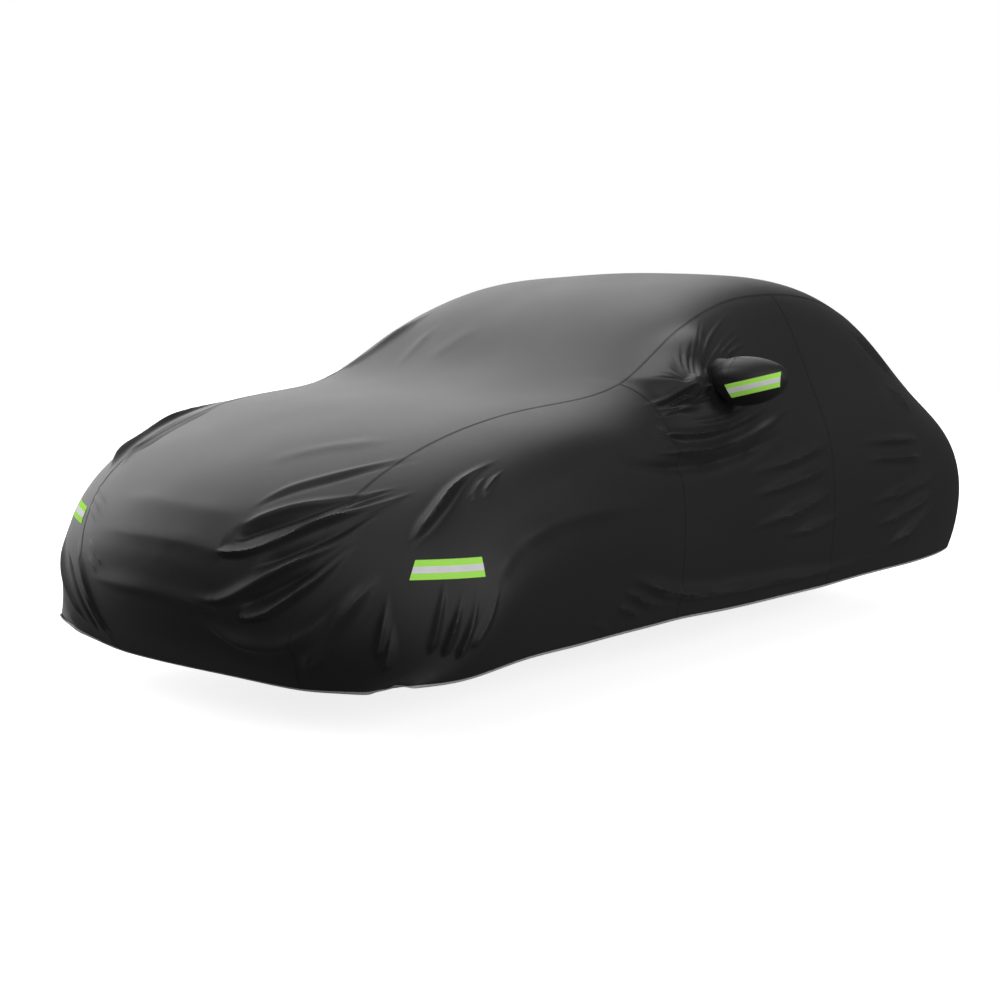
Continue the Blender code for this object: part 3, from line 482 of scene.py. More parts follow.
def smooth_points(places):
    """Points of the smooth cloth at each (section, row)."""
    net = cage()
    over = basis(places[:, 0], net.shape[0])
    across = basis(places[:, 1], net.shape[1])
    return np.einsum("kb,kbc->kc", across, np.einsum("ka,abc->kbc", over, net, optimize=True),
                     optimize=True)


def steps(table, seams, beside):
    """The grid lines that a table of (from, to, steps) gives, and those at and beside seams."""
    lines = [np.linspace(low, high, count + 1) for low, high, count in table]
    lines += [(seam - beside, seam, seam + beside) for seam in seams]
    return np.unique(np.concatenate(lines))


def pocket_away(places, reach=POCKET_HALF):
    """How far each place is from the middle of the pocket's block, in shares of a reach."""
    return (places - POCKET_MIDDLE) / reach


def round_the_pocket(places):
    """The grid's places, reshaped so that the pocket's square block becomes round."""
    away = pocket_away(places)
    square = np.abs(away).max(1)
    rounding = np.clip((POCKET_ROUND - square) / (POCKET_ROUND - 1), 0, 1)
    scale = rounding * (square / np.maximum(np.hypot(*away.T), 1e-6) - 1)
    return places + away * scale[:, None] * POCKET_HALF


def grid_normals(points):
    """Outward unit normals of a grid of points."""
    normals = np.cross(np.gradient(points, axis=0), np.gradient(points, axis=1))
    return normals / np.linalg.norm(normals, axis=2, keepdims=True)


def crease_lines():
    """Every crease as a dictionary with the sides' shares of its width and its smooth line, the
    mirrored ones included."""
    for row in rows(CREASE_COLUMNS, CREASES):
        line = np.array(row["line"])
        line = basis(np.linspace(0, len(line) - 1, CREASE_POINTS), len(line)) @ line
        yield {**row, "sides": (row["steep"], 1.0), "line": line}
        if row["side"] == "B":
            yield {**row, "sides": (1.0, row["steep"]), "line": line * (1, -1) + (0, ROWS),
                   "width": row["width"] * FAR_WIDTH, "height": row["height"] * FAR_HEIGHT}


def eased(share):
    """A share from 0 to 1, eased in and out and held outside them."""
    share = np.clip(share, 0, 1)
    return share * share * (3 - 2 * share)


def add_crease(total, points, normals, crease, phase):
    """Adds one crease to the lift of the points near its line."""
    path = smooth_points(crease["line"])
    reach = CREASE_REACH * crease["width"]
    inside = ((points > path.min(0) - reach) & (points < path.max(0) + reach)).all(1)
    near = np.nonzero(inside)[0]
    at, up = points[near], normals[near]
    best = np.full(len(near), np.inf)
    share = np.zeros(len(near))
    narrow = np.ones(len(near))
    for k, (start, end) in enumerate(zip(path[:-1], path[1:])):
        run = end - start
        t = np.clip((at - start) @ run / (run @ run), 0, 1)
        off = at - start - t[:, None] * run
        gap = (off ** 2).sum(1)
        closer = gap < best
        best[closer] = gap[closer]
        share[closer] = (k + t[closer]) / (len(path) - 1)
        right = np.einsum("ij,ij->i", off, np.cross(run, up)) > 0
        narrow[closer] = np.where(right, *crease["sides"])[closer]
    fade = eased(share / crease["fades"][0]) * eased((1 - share) / crease["fades"][1])
    away = (np.sqrt(best) / (crease["width"] * narrow * (1 - NARROWING * (1 - fade)))) ** CRISP
    length = np.linalg.norm(np.diff(path, axis=0), axis=1).sum()
    wander = 1 + UNEVEN * np.sin(share * length / WANDER + phase)
    total[near] += crease["height"] * wander * fade * (1 - away / 2) * np.exp(-away)


def swells(points):
    """Slow uneven waves over the whole cloth."""
    rng = np.random.default_rng(SWELL_SEED)
    total = np.zeros(len(points))
    for _ in range(SWELLS):
        way = rng.normal(size=3)
        way /= np.linalg.norm(way) * rng.uniform(*SWELL_LENGTHS)
        total += SWELL_HEIGHT * np.sin(2 * np.pi * points @ way + rng.uniform(0, 2 * np.pi))
    return total


class Cloth:
    """The whole fine cloth: its section and row lines, outer points [line, line, xyz], normals
    and flat coordinates in metres."""

    def __init__(self):
        half = steps(FINE_ROWS, (LEFT_SEAM,), BESIDE_LONG_SEAM)
        self.over = steps(FINE_SECTIONS, (DOOR_FRONT, DOOR_REAR), BESIDE_DOOR_SEAM)
        self.across = np.concatenate([half, ROWS - half[-2::-1]])
        shape = (len(self.over), len(self.across), 3)
        places = np.stack(np.meshgrid(self.over, self.across, indexing="ij"), 2).reshape(-1, 2)
        places = round_the_pocket(places)
        smooth = smooth_points(places)
        normals = grid_normals(smooth.reshape(shape)).reshape(-1, 3)
        lift = POCKET_PULL * np.exp(-(pocket_away(places, POCKET_REACH) ** 2).sum(1))
        folds = swells(smooth)
        for number, crease in enumerate(crease_lines()):
            add_crease(folds, smooth, normals, crease, PHASE_STEP * number)
        lift += folds * eased((np.hypot(*pocket_away(places).T) - POCKET_EDGE) / POCKET_CALM)
        self.points = (smooth + normals * lift[:, None]).reshape(shape)
        self.normals = grid_normals(self.points)
        middle = shape[0] // 2, shape[1] // 2
        along = np.linalg.norm(np.diff(self.points[:, middle[1]], axis=0), axis=1)
        across = np.linalg.norm(np.diff(self.points[middle[0]], axis=0), axis=1)
        self.flat = np.stack(np.meshgrid(np.append(0, np.cumsum(along)),
                                         np.append(0, np.cumsum(across)), indexing="ij"), 2)

    def slices(self, block):
        """The slices of section lines and of row lines that a block of the grid covers."""
        spans = []
        for lines, ends in zip((self.over, self.across), block):
            first, last = (int(np.argmin(abs(lines - at))) for at in ends)
            spans.append(slice(first, last + 1))
        return tuple(spans)

    def rim(self, block):
        """Line numbers of the points round a block, in order."""
        over, across = self.slices(block)
        i0, i1, j0, j1 = over.start, over.stop - 1, across.start, across.stop - 1
        walk = [(i, j0) for i in range(i0, i1)] + [(i1, j) for j in range(j0, j1)]
        walk += [(i, j1) for i in range(i1, i0, -1)] + [(i0, j) for j in range(j1, j0, -1)]
        return tuple(np.array(walk).T)

    def hem(self):
        """The points and normals along the whole hem, in order, and the points one line in."""
        rim = self.rim(((0, LAST), (0, ROWS)))
        inside = tuple(np.clip(line, 1, count - 2)
                       for line, count in zip(rim, self.points.shape))
        return self.points[rim], self.normals[rim], self.points[inside]


CLOTH = []                       # the fine cloth, worked out once for all the operators


def the_cloth():
    """The fine cloth, worked out on first use."""
    if not CLOTH:
        CLOTH.append(Cloth())
    return CLOTH[0]


# ---------------------------------------------------------------- meshes


def towards(points, aims, distance):
    """The points, each moved a distance towards its aim."""
    step = aims - points
    return points + step / np.linalg.norm(step, axis=-1, keepdims=True) * distance


def numbers(grid):
    """The numbers of a grid's points."""
    return np.arange(grid.shape[0] * grid.shape[1]).reshape(grid.shape[:2])


def cells(number):
    """The cells of a grid of point numbers, each as its four corners in order."""
    corners = (number[:-1, :-1], number[1:, :-1], number[1:, 1:], number[:-1, 1:])
    return np.stack(corners, 2).reshape(-1, 4)


def put(name, data):
    """A new object in the scene, with its data."""
    made = bpy.data.objects.new(name, data)
    bpy.context.scene.collection.objects.link(made)
    return made


def add_mesh(name, points, faces, material, flat=None):
    """A smooth mesh object with one material, and a UV map where flat coordinates are given."""
    points = np.asarray(points, float)
    faces = [np.asarray(face, int) for face in faces]
    mesh = bpy.data.meshes.new(name)
    mesh.from_pydata(points.tolist(), [], [face.tolist() for face in faces])
    mesh.shade_smooth()
    mesh.set_sharp_from_angle(angle=SHARP)
    if flat is not None:
        corners = np.empty(len(mesh.loops), np.int64)
        mesh.loops.foreach_get("vertex_index", corners)
        layer = mesh.uv_layers.new(name="flat")
        layer.data.foreach_set("uv", flat[corners].astype(np.float32).ravel())
    mesh.materials.append(material)
    mesh.update()
    return put(name, mesh)


def closed_sheet(name, outer, inner, faces, material, flat=None):
    """A closed sheet: faces on the outer points, the same on the inner points, and a wall along
    each open edge."""
    count = len(outer)
    corners = [(face[k], face[(k + 1) % len(face)]) for face in faces for k in range(len(face))]
    edges = set(corners)
    walls = [(b, a, a + count, b + count) for a, b in corners if (b, a) not in edges]
    back = [tuple(int(k) + count for k in face[::-1]) for face in faces]
    both = None if flat is None else np.concatenate([flat, flat])
    return add_mesh(name, np.concatenate([outer, inner]), list(faces) + back + walls, material,
                    both)


def keep(piece, slot, *nodes):
    """Rides a finished piece on the cover and hides the solids it stands for. The slot is not
    used.
    """
    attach(piece, BODY)
    if nodes:
        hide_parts(*nodes)
    return piece


# ---------------------------------------------------------------- shaders


class Value:
    """A socket's value. Sums, products and the like of values add Math nodes."""

    def __init__(self, wires, socket):
        self.wires = wires
        self.socket = socket

    def math(self, operation, *others):
        """A Math node of this value and the others."""
        node = self.wires.add("Math", {"operation": operation}, dict(enumerate((self, *others))))
        return node.value()

    def __add__(self, other):
        return self.math("ADD", other)

    def __sub__(self, other):
        return self.math("SUBTRACT", other)

    def __rsub__(self, other):
        return self.wires.number(other).math("SUBTRACT", self)

    def __mul__(self, other):
        return self.math("MULTIPLY", other)

    def sine(self):
        """The sine of this value, in radians."""
        return self.math("SINE")

    __radd__ = __add__
    __rmul__ = __mul__


class Node:
    """A node just added; value() gives one of its outputs."""

    def __init__(self, wires, node):
        self.wires = wires
        self.node = node

    def value(self, name=0):
        """The output of that name or number."""
        return Value(self.wires, self.node.outputs[name])


class Wires:
    """The node tree of one material, with its Principled shader."""

    def __init__(self, name):
        self.material = bpy.data.materials.new(name)
        self.material.use_nodes = True
        self.tree = self.material.node_tree
        self.shader = self.tree.nodes["Principled BSDF"]

    def add(self, kind, settings=None, values=None):
        """Adds a node: its settings first, then the values or links of its sockets."""
        node = self.tree.nodes.new("ShaderNode" + kind)
        for key, setting in (settings or {}).items():
            setattr(node, key, setting)
        for key, value in (values or {}).items():
            self.join(node.inputs[key], value)
        return Node(self, node)

    def join(self, socket, value):
        """Links a value to a socket, or sets the socket."""
        if isinstance(value, Value):
            self.tree.links.new(value.socket, socket)
        else:
            socket.default_value = value

    def number(self, value):
        """A number as a value."""
        node = self.add("Value")
        node.node.outputs[0].default_value = value
        return node.value()

    def mixed(self, share, first, second):
        """A colour between two colours."""
        node = self.add("Mix", {"data_type": "RGBA"}, {0: share, 6: first, 7: second})
        return node.value(2)

    def noise(self, scale, detail=4.0, roughness=0.55):
        """Noise on the object's coordinates, as a value from 0 to 1."""
        where = self.add("TexCoord").value("Object")
        node = self.add("TexNoise", {}, {"Vector": where, "Scale": scale, "Detail": detail,
                                         "Roughness": roughness})
        return node.value("Fac")

    def flat(self):
        """The two flat coordinates of the piece's UV map, in metres."""
        flat = self.add("UVMap", {"uv_map": "flat"}).value()
        parts = self.add("SeparateXYZ", {}, {0: flat})
        return parts.value(0), parts.value(1)

    def ramp(self, value, low, high):
        """The value, from 0 at low to 1 at high, and held outside them."""
        node = self.add("MapRange", {"clamp": True}, {"Value": value, "From Min": low,
                                                     "From Max": high})
        return node.value()

    def shade(self, sockets):
        """Sets or links sockets of the shader."""
        for name, value in sockets.items():
            self.join(self.shader.inputs[name], value)

    def bump(self, height, strength, distance):
        """Feeds a height to the shader's normal."""
        node = self.add("Bump", {}, {"Strength": strength, "Distance": distance,
                                     "Height": height})
        self.tree.links.new(node.node.outputs["Normal"], self.shader.inputs["Normal"])


def rgba(tint, scale=1.0):
    """A colour as the four numbers of a socket, lightened or darkened by a scale."""
    return (*(min(1.0, part * scale) for part in tint), 1.0)


def cloth_finish(tint):
    """Black coated cloth: a fine weave, a soft mottle and faint marks of wear."""
    wires = Wires("fine_cloth")
    across, along = wires.flat()
    weave = (across * WEAVE).sine() * (along * WEAVE).sine()
    mottle = wires.noise(scale=3.0, detail=3.0)
    speck = wires.noise(scale=700.0, detail=2.0, roughness=0.7)
    scuff = wires.ramp(wires.noise(scale=17.0, detail=6.0, roughness=0.7), low=0.52, high=0.75)
    tone = mottle * 0.45 + speck * 0.35 + scuff * 0.12 + weave * 0.04
    wires.shade({"Base Color": wires.mixed(tone, rgba(tint, 0.86), rgba(tint, 1.18)),
                 "Roughness": 0.44 + mottle * 0.10 + speck * 0.08,
                 "Sheen Weight": 0.05, "Sheen Roughness": 0.45, "Specular IOR Level": 0.5})
    wires.bump(weave * 0.4 + speck * 0.9 + wires.noise(scale=60.0) * 1.6, strength=0.22,
               distance=0.0009)
    return wires.material


def tape_finish(tint):
    """Reflective lime tape with its fine diamond lattice, and a painted glow that stands in for
    the light it reflects back.
    """
    wires = Wires("fine_tape")
    across, along = wires.flat()
    lattice = ((across + along) * LATTICE).sine() * ((across - along) * LATTICE).sine()
    grime = wires.noise(scale=45.0, detail=5.0)
    tone = lattice * 0.18 + grime * 0.5 + 0.25
    # the emission is a painted glow in the tape's colour, standing in for its reflected light
    wires.shade({"Base Color": wires.mixed(tone, rgba(tint, 0.82), rgba(tint, 1.15)),
                 "Roughness": 0.45 + grime * 0.2, "Specular IOR Level": 0.0,
                 "Emission Color": rgba(tint), "Emission Strength": 0.20})
    wires.bump(lattice, strength=0.25, distance=0.0003)
    return wires.material


def stripe_finish(tint):
    """Silver reflective stripe, grained with fine beads, and a painted glow that stands in for the
    light it reflects back.
    """
    wires = Wires("fine_stripe")
    beads = wires.noise(scale=1500.0, detail=1.0)
    grime = wires.noise(scale=30.0, detail=5.0)
    tone = grime * 0.7 + beads * 0.3
    # the emission is a painted glow in the stripe's colour, standing in for its reflected light
    wires.shade({"Base Color": wires.mixed(tone, rgba(tint, 0.80), rgba(tint, 1.15)),
                 "Roughness": 0.28 + beads * 0.25, "Metallic": 0.1, "Specular IOR Level": 0.0,
                 "Emission Color": rgba(tint), "Emission Strength": 0.30})
    wires.bump(beads, strength=0.2, distance=0.0002)
    return wires.material


def binding_finish(tint):
    """Ribbed binding tape of the hem."""
    wires = Wires("fine_binding")
    ribs = (wires.flat()[0] * RIBS).sine()
    fuzz = wires.noise(scale=400.0, detail=3.0)
    tone = fuzz * 0.6 + ribs * 0.2 + 0.1
    wires.shade({"Base Color": wires.mixed(tone, rgba(tint, 0.80), rgba(tint, 1.15)),
                 "Roughness": 0.62 + fuzz * 0.2})
    wires.bump(ribs + fuzz, strength=0.3, distance=0.0004)
    return wires.material


def thread_finish(tint):
    """Twisted sewing thread."""
    wires = Wires("fine_thread")
    twist = wires.noise(scale=2500.0, detail=2.0)
    wires.shade({"Base Color": wires.mixed(twist, rgba(tint, 0.7), rgba(tint, 1.4)),
                 "Roughness": 0.75 + twist * 0.2, "Specular IOR Level": 0.1})
    wires.bump(twist, strength=0.3, distance=0.0002)
    return wires.material


FINISHES = {"cloth": cloth_finish, "tape": tape_finish, "stripe": stripe_finish,
            "binding": binding_finish, "thread": thread_finish}
MADE = {}                        # the materials made so far


def finish(name):
    """The material of one finish, made once."""
    if name not in MADE:
        MADE[name] = FINISHES[name](tuple(getattr(bpy.context.scene.cover_colours, name)))
    return MADE[name]


# ---------------------------------------------------------------- pieces


def cloth_panel(row, sizes):
    """One sewn panel: a closed sheet whose sewn edges turn in a little."""
    cloth = the_cloth()
    block = (row["sections"], row["rows"])
    part = cloth.slices(block)
    outer, up = cloth.points[part], cloth.normals[part]
    moved = outer.copy()
    every, first, last = slice(None), (0, 1, 2), (-1, -2, -3)
    edges = (
        ("front", block[0][0] > 0, [(line, every) for line in first]),
        ("rear", block[0][1] < LAST, [(line, every) for line in last]),
        ("low", block[1][0] > 0, [(every, line) for line in first]),
        ("high", block[1][1] < ROWS, [(every, line) for line in last]),
    )
    for name, sewn, (edge, second, third) in edges:
        if not sewn:
            continue
        moved[edge] = towards(moved[edge], outer[second], sizes.seam_gap / 2)
        moved[edge] -= up[edge] * sizes.seam_roll
        if row["name"] == "top_panel" or name == "rear":
            moved[second] += up[second] * sizes.seam_ridge
            moved[third] += up[third] * sizes.seam_ridge * SEAM_FALL
    quads = cells(numbers(outer))
    if row["name"] == "side_door_left":
        hole = [slice(cut.start - whole.start, cut.stop - whole.start - 1)
                for cut, whole in zip(cloth.slices(POCKET_BLOCK), part)]
        kept = np.ones((outer.shape[0] - 1, outer.shape[1] - 1), bool)
        kept[tuple(hole)] = False
        quads = quads[kept.ravel()]
    inner = moved - sizes.cloth * up
    used, corners = np.unique(quads, return_inverse=True)
    piece = closed_sheet("cloth_" + row["name"], moved.reshape(-1, 3)[used],
                         inner.reshape(-1, 3)[used], corners.reshape(-1, 4).tolist(),
                         finish("cloth"), cloth.flat[part].reshape(-1, 2)[used])
    return keep(piece, "cloth", row["name"])


def pocket_shape(sizes):
    """The pocket's grid of outer points [step, place round it, xyz], its normals and its tip."""
    cloth = the_cloth()
    rim = cloth.rim(POCKET_BLOCK)
    foot = towards(cloth.points[rim], cloth.points[rim].mean(0), sizes.seam_gap / 2)
    rings = rows(RING_COLUMNS, POCKET_RINGS)
    turn = np.arctan2((foot[:, 2] + ORIGIN[2] - rings[0]["z"]) / rings[0]["half_height"],
                      (foot[:, 1] + ORIGIN[1] - rings[0]["y"]) / rings[0]["half_depth"])
    path = [foot]
    for ring in rings:
        path.append(np.stack([np.full(len(turn), ring["x"]),
                              ring["y"] + ring["half_depth"] * np.cos(turn),
                              ring["z"] + ring["half_height"] * np.sin(turn)], 1) - ORIGIN)
    tip = np.array(POCKET_TIP) - ORIGIN
    path.append(np.tile(tip, (len(turn), 1)))
    at = np.linspace(0, len(path) - 1, POCKET_STEPS + 1)[:-1]
    tube = np.einsum("ka,abc->kbc", basis(at, len(path)), np.array(path))
    tube = np.concatenate([(foot - sizes.cloth * cloth.normals[rim])[None], tube])
    around = np.roll(tube, -1, axis=1) - np.roll(tube, 1, axis=1)
    outward = np.cross(around, np.gradient(tube, axis=0))
    outward /= np.linalg.norm(outward, axis=2, keepdims=True)
    past = np.arange(len(tube)) - POCKET_SEAM
    seam = sum(np.exp(-((past - step) / width) ** 2) * height
               for step, width, height in POCKET_SEAM_SHAPE)
    fade = np.exp(-(past / GATHER_FADE) ** 2) * (past > 1 - POCKET_SEAM)
    gathers = sum(height * np.sin(count * turn + phase)
                  for count, phase, height in POCKET_GATHERS)
    lift = seam[:, None] + fade[:, None] * gathers
    return tube + outward * lift[..., None], outward, tip


def mirror_pocket(sizes):
    """The mirror pocket: a pouch that stands in the hole of its panel, open to the inside."""
    tube, outward, tip = pocket_shape(sizes)
    number = numbers(tube)
    number = np.concatenate([number, number[:, :1]], 1)
    outer = np.concatenate([tube.reshape(-1, 3), [tip]])
    inner = (tube - sizes.cloth * outward).reshape(-1, 3)
    inner = np.concatenate([inner, [tip - (sizes.cloth, 0, 0)]])
    faces = cells(number).tolist()
    faces += [(a, b, len(outer) - 1) for a, b in zip(number[-1, :-1], number[-1, 1:])]
    flat = np.stack([outer[:, 0] * POCKET_WEAVE + outer[:, 2], outer[:, 1] * POCKET_WEAVE], 1)
    piece = closed_sheet("cloth_mirror_pocket_left", outer, inner, faces, finish("cloth"), flat)
    return keep(piece, "cloth", "mirror_pocket_left")


def reflective_tape(row, sizes):
    """A tape laid on the cloth that carries it, and the silver stripe along its middle."""
    along = np.array(row["along"]) / np.linalg.norm(row["along"])
    facing = np.array(row["facing"]) - np.dot(row["facing"], along) * along
    facing /= np.linalg.norm(facing)
    up = np.cross(facing, along)
    up *= np.sign(up[2])
    columns = np.linspace(-0.5, 0.5, TAPE_LINES)
    lengths = np.linspace(0, 1, int(row["length"] / TAPE_STEP) + 1)[:, None]
    start = -row["length"] / 2 + row["slants"][0] * columns
    end = row["length"] / 2 + row["slants"][1] * columns
    run = start + (end - start) * lengths
    above = np.array(row["middle"]) - ORIGIN + facing + run[..., None] * along
    above += (columns * row["width"])[:, None] * up
    carrier = bpy.data.objects[f"cloth_{row['carrier']}_{row['side']}"].data
    tree = BVHTree.FromPolygons([v.co for v in carrier.vertices],
                                [tuple(f.vertices) for f in carrier.polygons])
    laid = np.array([tuple(tree.ray_cast(at, -facing)[0]) for at in above.reshape(-1, 3)])
    laid = laid.reshape(above.shape)
    for _ in range(TAPE_EASES):
        laid[1:-1, 1:-1] = (laid[:-2, 1:-1] + laid[2:, 1:-1] + laid[1:-1, :-2]
                            + laid[1:-1, 2:] + 2 * laid[1:-1, 1:-1]) / 6
    flat = np.stack([np.tile(columns * row["width"], (len(lengths), 1)), run], 2)
    layers = (("tape", slice(None), TAPE_LIFT),
              ("stripe", slice(*STRIPE_LINES), TAPE_LIFT + sizes.tape + STRIPE_LIFT))
    for kind, span, low in layers:
        part = laid[:, span]
        inner = (part + facing * low).reshape(-1, 3)
        outer = inner + facing * sizes.tape
        faces = cells(numbers(part))
        a, b, c = (outer[faces[0, k]] for k in range(3))
        if np.dot(np.cross(b - a, c - a), facing) < 0:
            faces = faces[:, ::-1]
        node = f"{row['name']}_{kind}_{row['side']}"
        piece = closed_sheet("sewn_" + node, outer, inner, faces.tolist(), finish(kind),
                             flat[:, span].reshape(-1, 2))
        keep(piece, kind, node)


def hem_binding(sizes):
    """The narrow binding round the whole hem: a flat oval swept along the cloth's edge."""
    edge, normals, inside = the_cloth().hem()
    out = np.cross(np.roll(edge, -1, axis=0) - np.roll(edge, 1, axis=0), normals)
    out *= np.sign(np.sum(out * (edge - inside), axis=1, keepdims=True))
    out /= np.linalg.norm(out, axis=1, keepdims=True)
    centre = edge - normals * sizes.cloth / 2 + out * (sizes.binding_width / 2)
    turn = np.linspace(0, 2 * np.pi, BINDING_SIDES, endpoint=False)
    wide, thick = sizes.binding_width / 2, sizes.binding_thickness / 2
    points = (centre[:, None] + out[:, None] * (wide * np.cos(turn))[:, None]
              + normals[:, None] * (thick * np.sin(turn))[:, None])
    number = numbers(points)
    number = np.concatenate([number, number[:1]])
    number = np.concatenate([number, number[:, :1]], 1)
    length = np.append(0, np.cumsum(np.linalg.norm(np.diff(edge, axis=0), axis=1)))
    flat = np.stack(np.broadcast_arrays(length[:, None], wide * turn), 2).reshape(-1, 2)
    piece = add_mesh("sewn_hem_binding", points.reshape(-1, 3), cells(number).tolist(),
                     finish("binding"), flat)
    return keep(piece, "binding", "hem_binding")


def stitch_tree():
    """Geometry nodes that lay stitches along lines: a small thread at each pitch."""
    tree = bpy.data.node_groups.new("stitches", "GeometryNodeTree")
    face = tree.interface
    face.new_socket("Lines", in_out="INPUT", socket_type="NodeSocketGeometry")
    for name in ("Pitch", "Length", "Thread"):
        face.new_socket(name, in_out="INPUT", socket_type="NodeSocketFloat")
    face.new_socket("Material", in_out="INPUT", socket_type="NodeSocketMaterial")
    face.new_socket("Stitches", in_out="OUTPUT", socket_type="NodeSocketGeometry")

    def add(kind, values, **settings):
        node = tree.nodes.new(kind)
        for key, setting in settings.items():
            setattr(node, key, setting)
        for key, value in values.items():
            if isinstance(value, bpy.types.NodeSocket):
                tree.links.new(value, node.inputs[key])
            else:
                node.inputs[key].default_value = value
        return node.outputs

    source = tree.nodes.new("NodeGroupInput").outputs
    curve = add("GeometryNodeMeshToCurve", {"Mesh": source["Lines"]})
    spaced = add("GeometryNodeResampleCurve", {"Curve": curve[0], "Length": source["Pitch"]},
                 mode="LENGTH")
    tangent = add("GeometryNodeInputTangent", {})
    turned = add("FunctionNodeAlignRotationToVector", {"Vector": tangent[0]}, axis="Z")
    thread = add("GeometryNodeMeshCylinder",
                 {"Vertices": STITCH_SIDES, "Radius": source["Thread"], "Depth": source["Length"]},
                 fill_type="TRIANGLE_FAN")
    laid = add("GeometryNodeInstanceOnPoints",
               {"Points": spaced[0], "Instance": thread["Mesh"], "Rotation": turned[0]})
    real = add("GeometryNodeRealizeInstances", {"Geometry": laid[0]})
    done = add("GeometryNodeSetMaterial", {"Geometry": real[0], "Material": source["Material"]})
    end = tree.nodes.new("NodeGroupOutput")
    tree.links.new(done[0], end.inputs[0])
    return tree


def stitches(name, lines, sizes, slot):
    """Stitches along lines of points, made with geometry nodes and turned into a mesh."""
    points, edges = [], []
    for line in lines:
        first = len(points)
        points += [tuple(at) for at in line]
        edges += [(first + k, first + k + 1) for k in range(len(line) - 1)]
    mesh = bpy.data.meshes.new(name + "_lines")
    mesh.from_pydata(points, edges, [])
    guide = put(name + "_lines", mesh)
    tree = bpy.data.node_groups.get("stitches") or stitch_tree()
    modifier = guide.modifiers.new("stitches", "NODES")
    modifier.node_group = tree
    inputs = {item.name: item.identifier for item in tree.interface.items_tree
              if item.in_out == "INPUT"}
    modifier[inputs["Pitch"]] = sizes.stitch_pitch
    modifier[inputs["Length"]] = sizes.stitch_length
    modifier[inputs["Thread"]] = sizes.thread
    modifier[inputs["Material"]] = finish("thread")
    depsgraph = bpy.context.evaluated_depsgraph_get()
    made = bpy.data.meshes.new_from_object(guide.evaluated_get(depsgraph))
    guide.modifiers.remove(modifier)
    bpy.data.objects.remove(guide, do_unlink=True)
    made.shade_smooth()
    return keep(put(name, made), slot)


def seam_lines(sizes):
    """Lines of stitches beside the seams, just above the cloth."""
    cloth = the_cloth()
    above = cloth.points + cloth.normals * (sizes.seam_ridge + sizes.thread * STITCH_SUNK)
    lines = []
    for row, second in ((LEFT_SEAM, 1), (RIGHT_SEAM, -1)):
        at = int(np.argmin(abs(cloth.across - row)))
        for share in STITCH_PLACES:
            lines.append(between(above[:, at + second], above[:, at + 2 * second], share))
    for section in (DOOR_FRONT, DOOR_REAR):
        at = int(np.argmin(abs(cloth.over - section)))
        for low, high in ((0, LEFT_SEAM), (RIGHT_SEAM, ROWS)):
            span = cloth.slices(((0, LAST), (low, high)))[1]
            for share in STITCH_PLACES:
                lines.append(between(above[at - 1, span], above[at - 2, span], share))
    tube, outward, _ = pocket_shape(sizes)
    ring = tube[POCKET_STITCH] + outward[POCKET_STITCH] * sizes.thread * STITCH_SUNK
    lines.append(np.concatenate([ring, ring[:1]]))
    return lines


def hem_lines(sizes):
    """The line of stitches that holds the binding, a little inside the hem."""
    edge, normals, inside = the_cloth().hem()
    line = towards(edge, inside, HEM_STITCH_IN) + normals * sizes.thread * STITCH_SUNK
    return [np.concatenate([line, line[:1]])]


# ---------------------------------------------------------------- operators


class COVER_OT_panels(bpy.types.Operator):
    """Makes the seven sewn panels of fine cloth"""
    bl_idname = "cover.panels"
    bl_label = "Cloth panels"

    def execute(self, context):
        for row in rows(PANEL_COLUMNS, PANELS):
            cloth_panel(row, context.scene.cover_sizes)
        return {"FINISHED"}


class COVER_OT_pocket(bpy.types.Operator):
    """Makes the mirror pocket"""
    bl_idname = "cover.pocket"
    bl_label = "Mirror pocket"

    def execute(self, context):
        mirror_pocket(context.scene.cover_sizes)
        return {"FINISHED"}


class COVER_OT_tapes(bpy.types.Operator):
    """Lays the reflective tapes on the cloth"""
    bl_idname = "cover.tapes"
    bl_label = "Reflective tapes"

    def execute(self, context):
        for row in rows(TAPE_COLUMNS, TAPES):
            reflective_tape(row, context.scene.cover_sizes)
        return {"FINISHED"}


class COVER_OT_hem(bpy.types.Operator):
    """Binds the hem"""
    bl_idname = "cover.hem"
    bl_label = "Hem binding"

    def execute(self, context):
        hem_binding(context.scene.cover_sizes)
        return {"FINISHED"}


class COVER_OT_stitches(bpy.types.Operator):
    """Sews the seams and the hem with lines of stitches"""
    bl_idname = "cover.stitches"
    bl_label = "Stitches"

    def execute(self, context):
        sizes = context.scene.cover_sizes
        stitches("seam_stitches", seam_lines(sizes), sizes, "cloth")
        stitches("hem_stitches", hem_lines(sizes), sizes, "cloth")
        return {"FINISHED"}


class COVER_OT_declare(bpy.types.Operator):
    """Looks up every sheet of cloth and what is sewn on it, and leaves them as they are"""
    bl_idname = "cover.declare"
    bl_label = "Flat cuts"

    def execute(self, context):
        pieces = bpy.data.objects
        sewn = {
            "side_front_left": ("sewn_front_tape_left", "sewn_front_stripe_left"),
            "side_front_right": ("sewn_front_tape_right", "sewn_front_stripe_right"),
            "top_panel": ("seam_stitches", "hem_stitches", "sewn_hem_binding"),
        }
        for row in rows(PANEL_COLUMNS, PANELS):
            pieces["cloth_" + row["name"]]
            [pieces[name] for name in sewn.get(row["name"], ())]
        return {"FINISHED"}


class COVER_OT_stage(bpy.types.Operator):
    """Sets out the floor, the lights, the white backdrop and the camera"""
    bl_idname = "cover.stage"
    bl_label = "Stage"

    def execute(self, context):
        add_world()
        add_floor()
        for row in rows(LIGHT_COLUMNS, LIGHTS):
            add_light(row)
        add_camera()
        context.scene.view_settings.view_transform = "Standard"
        return {"FINISHED"}


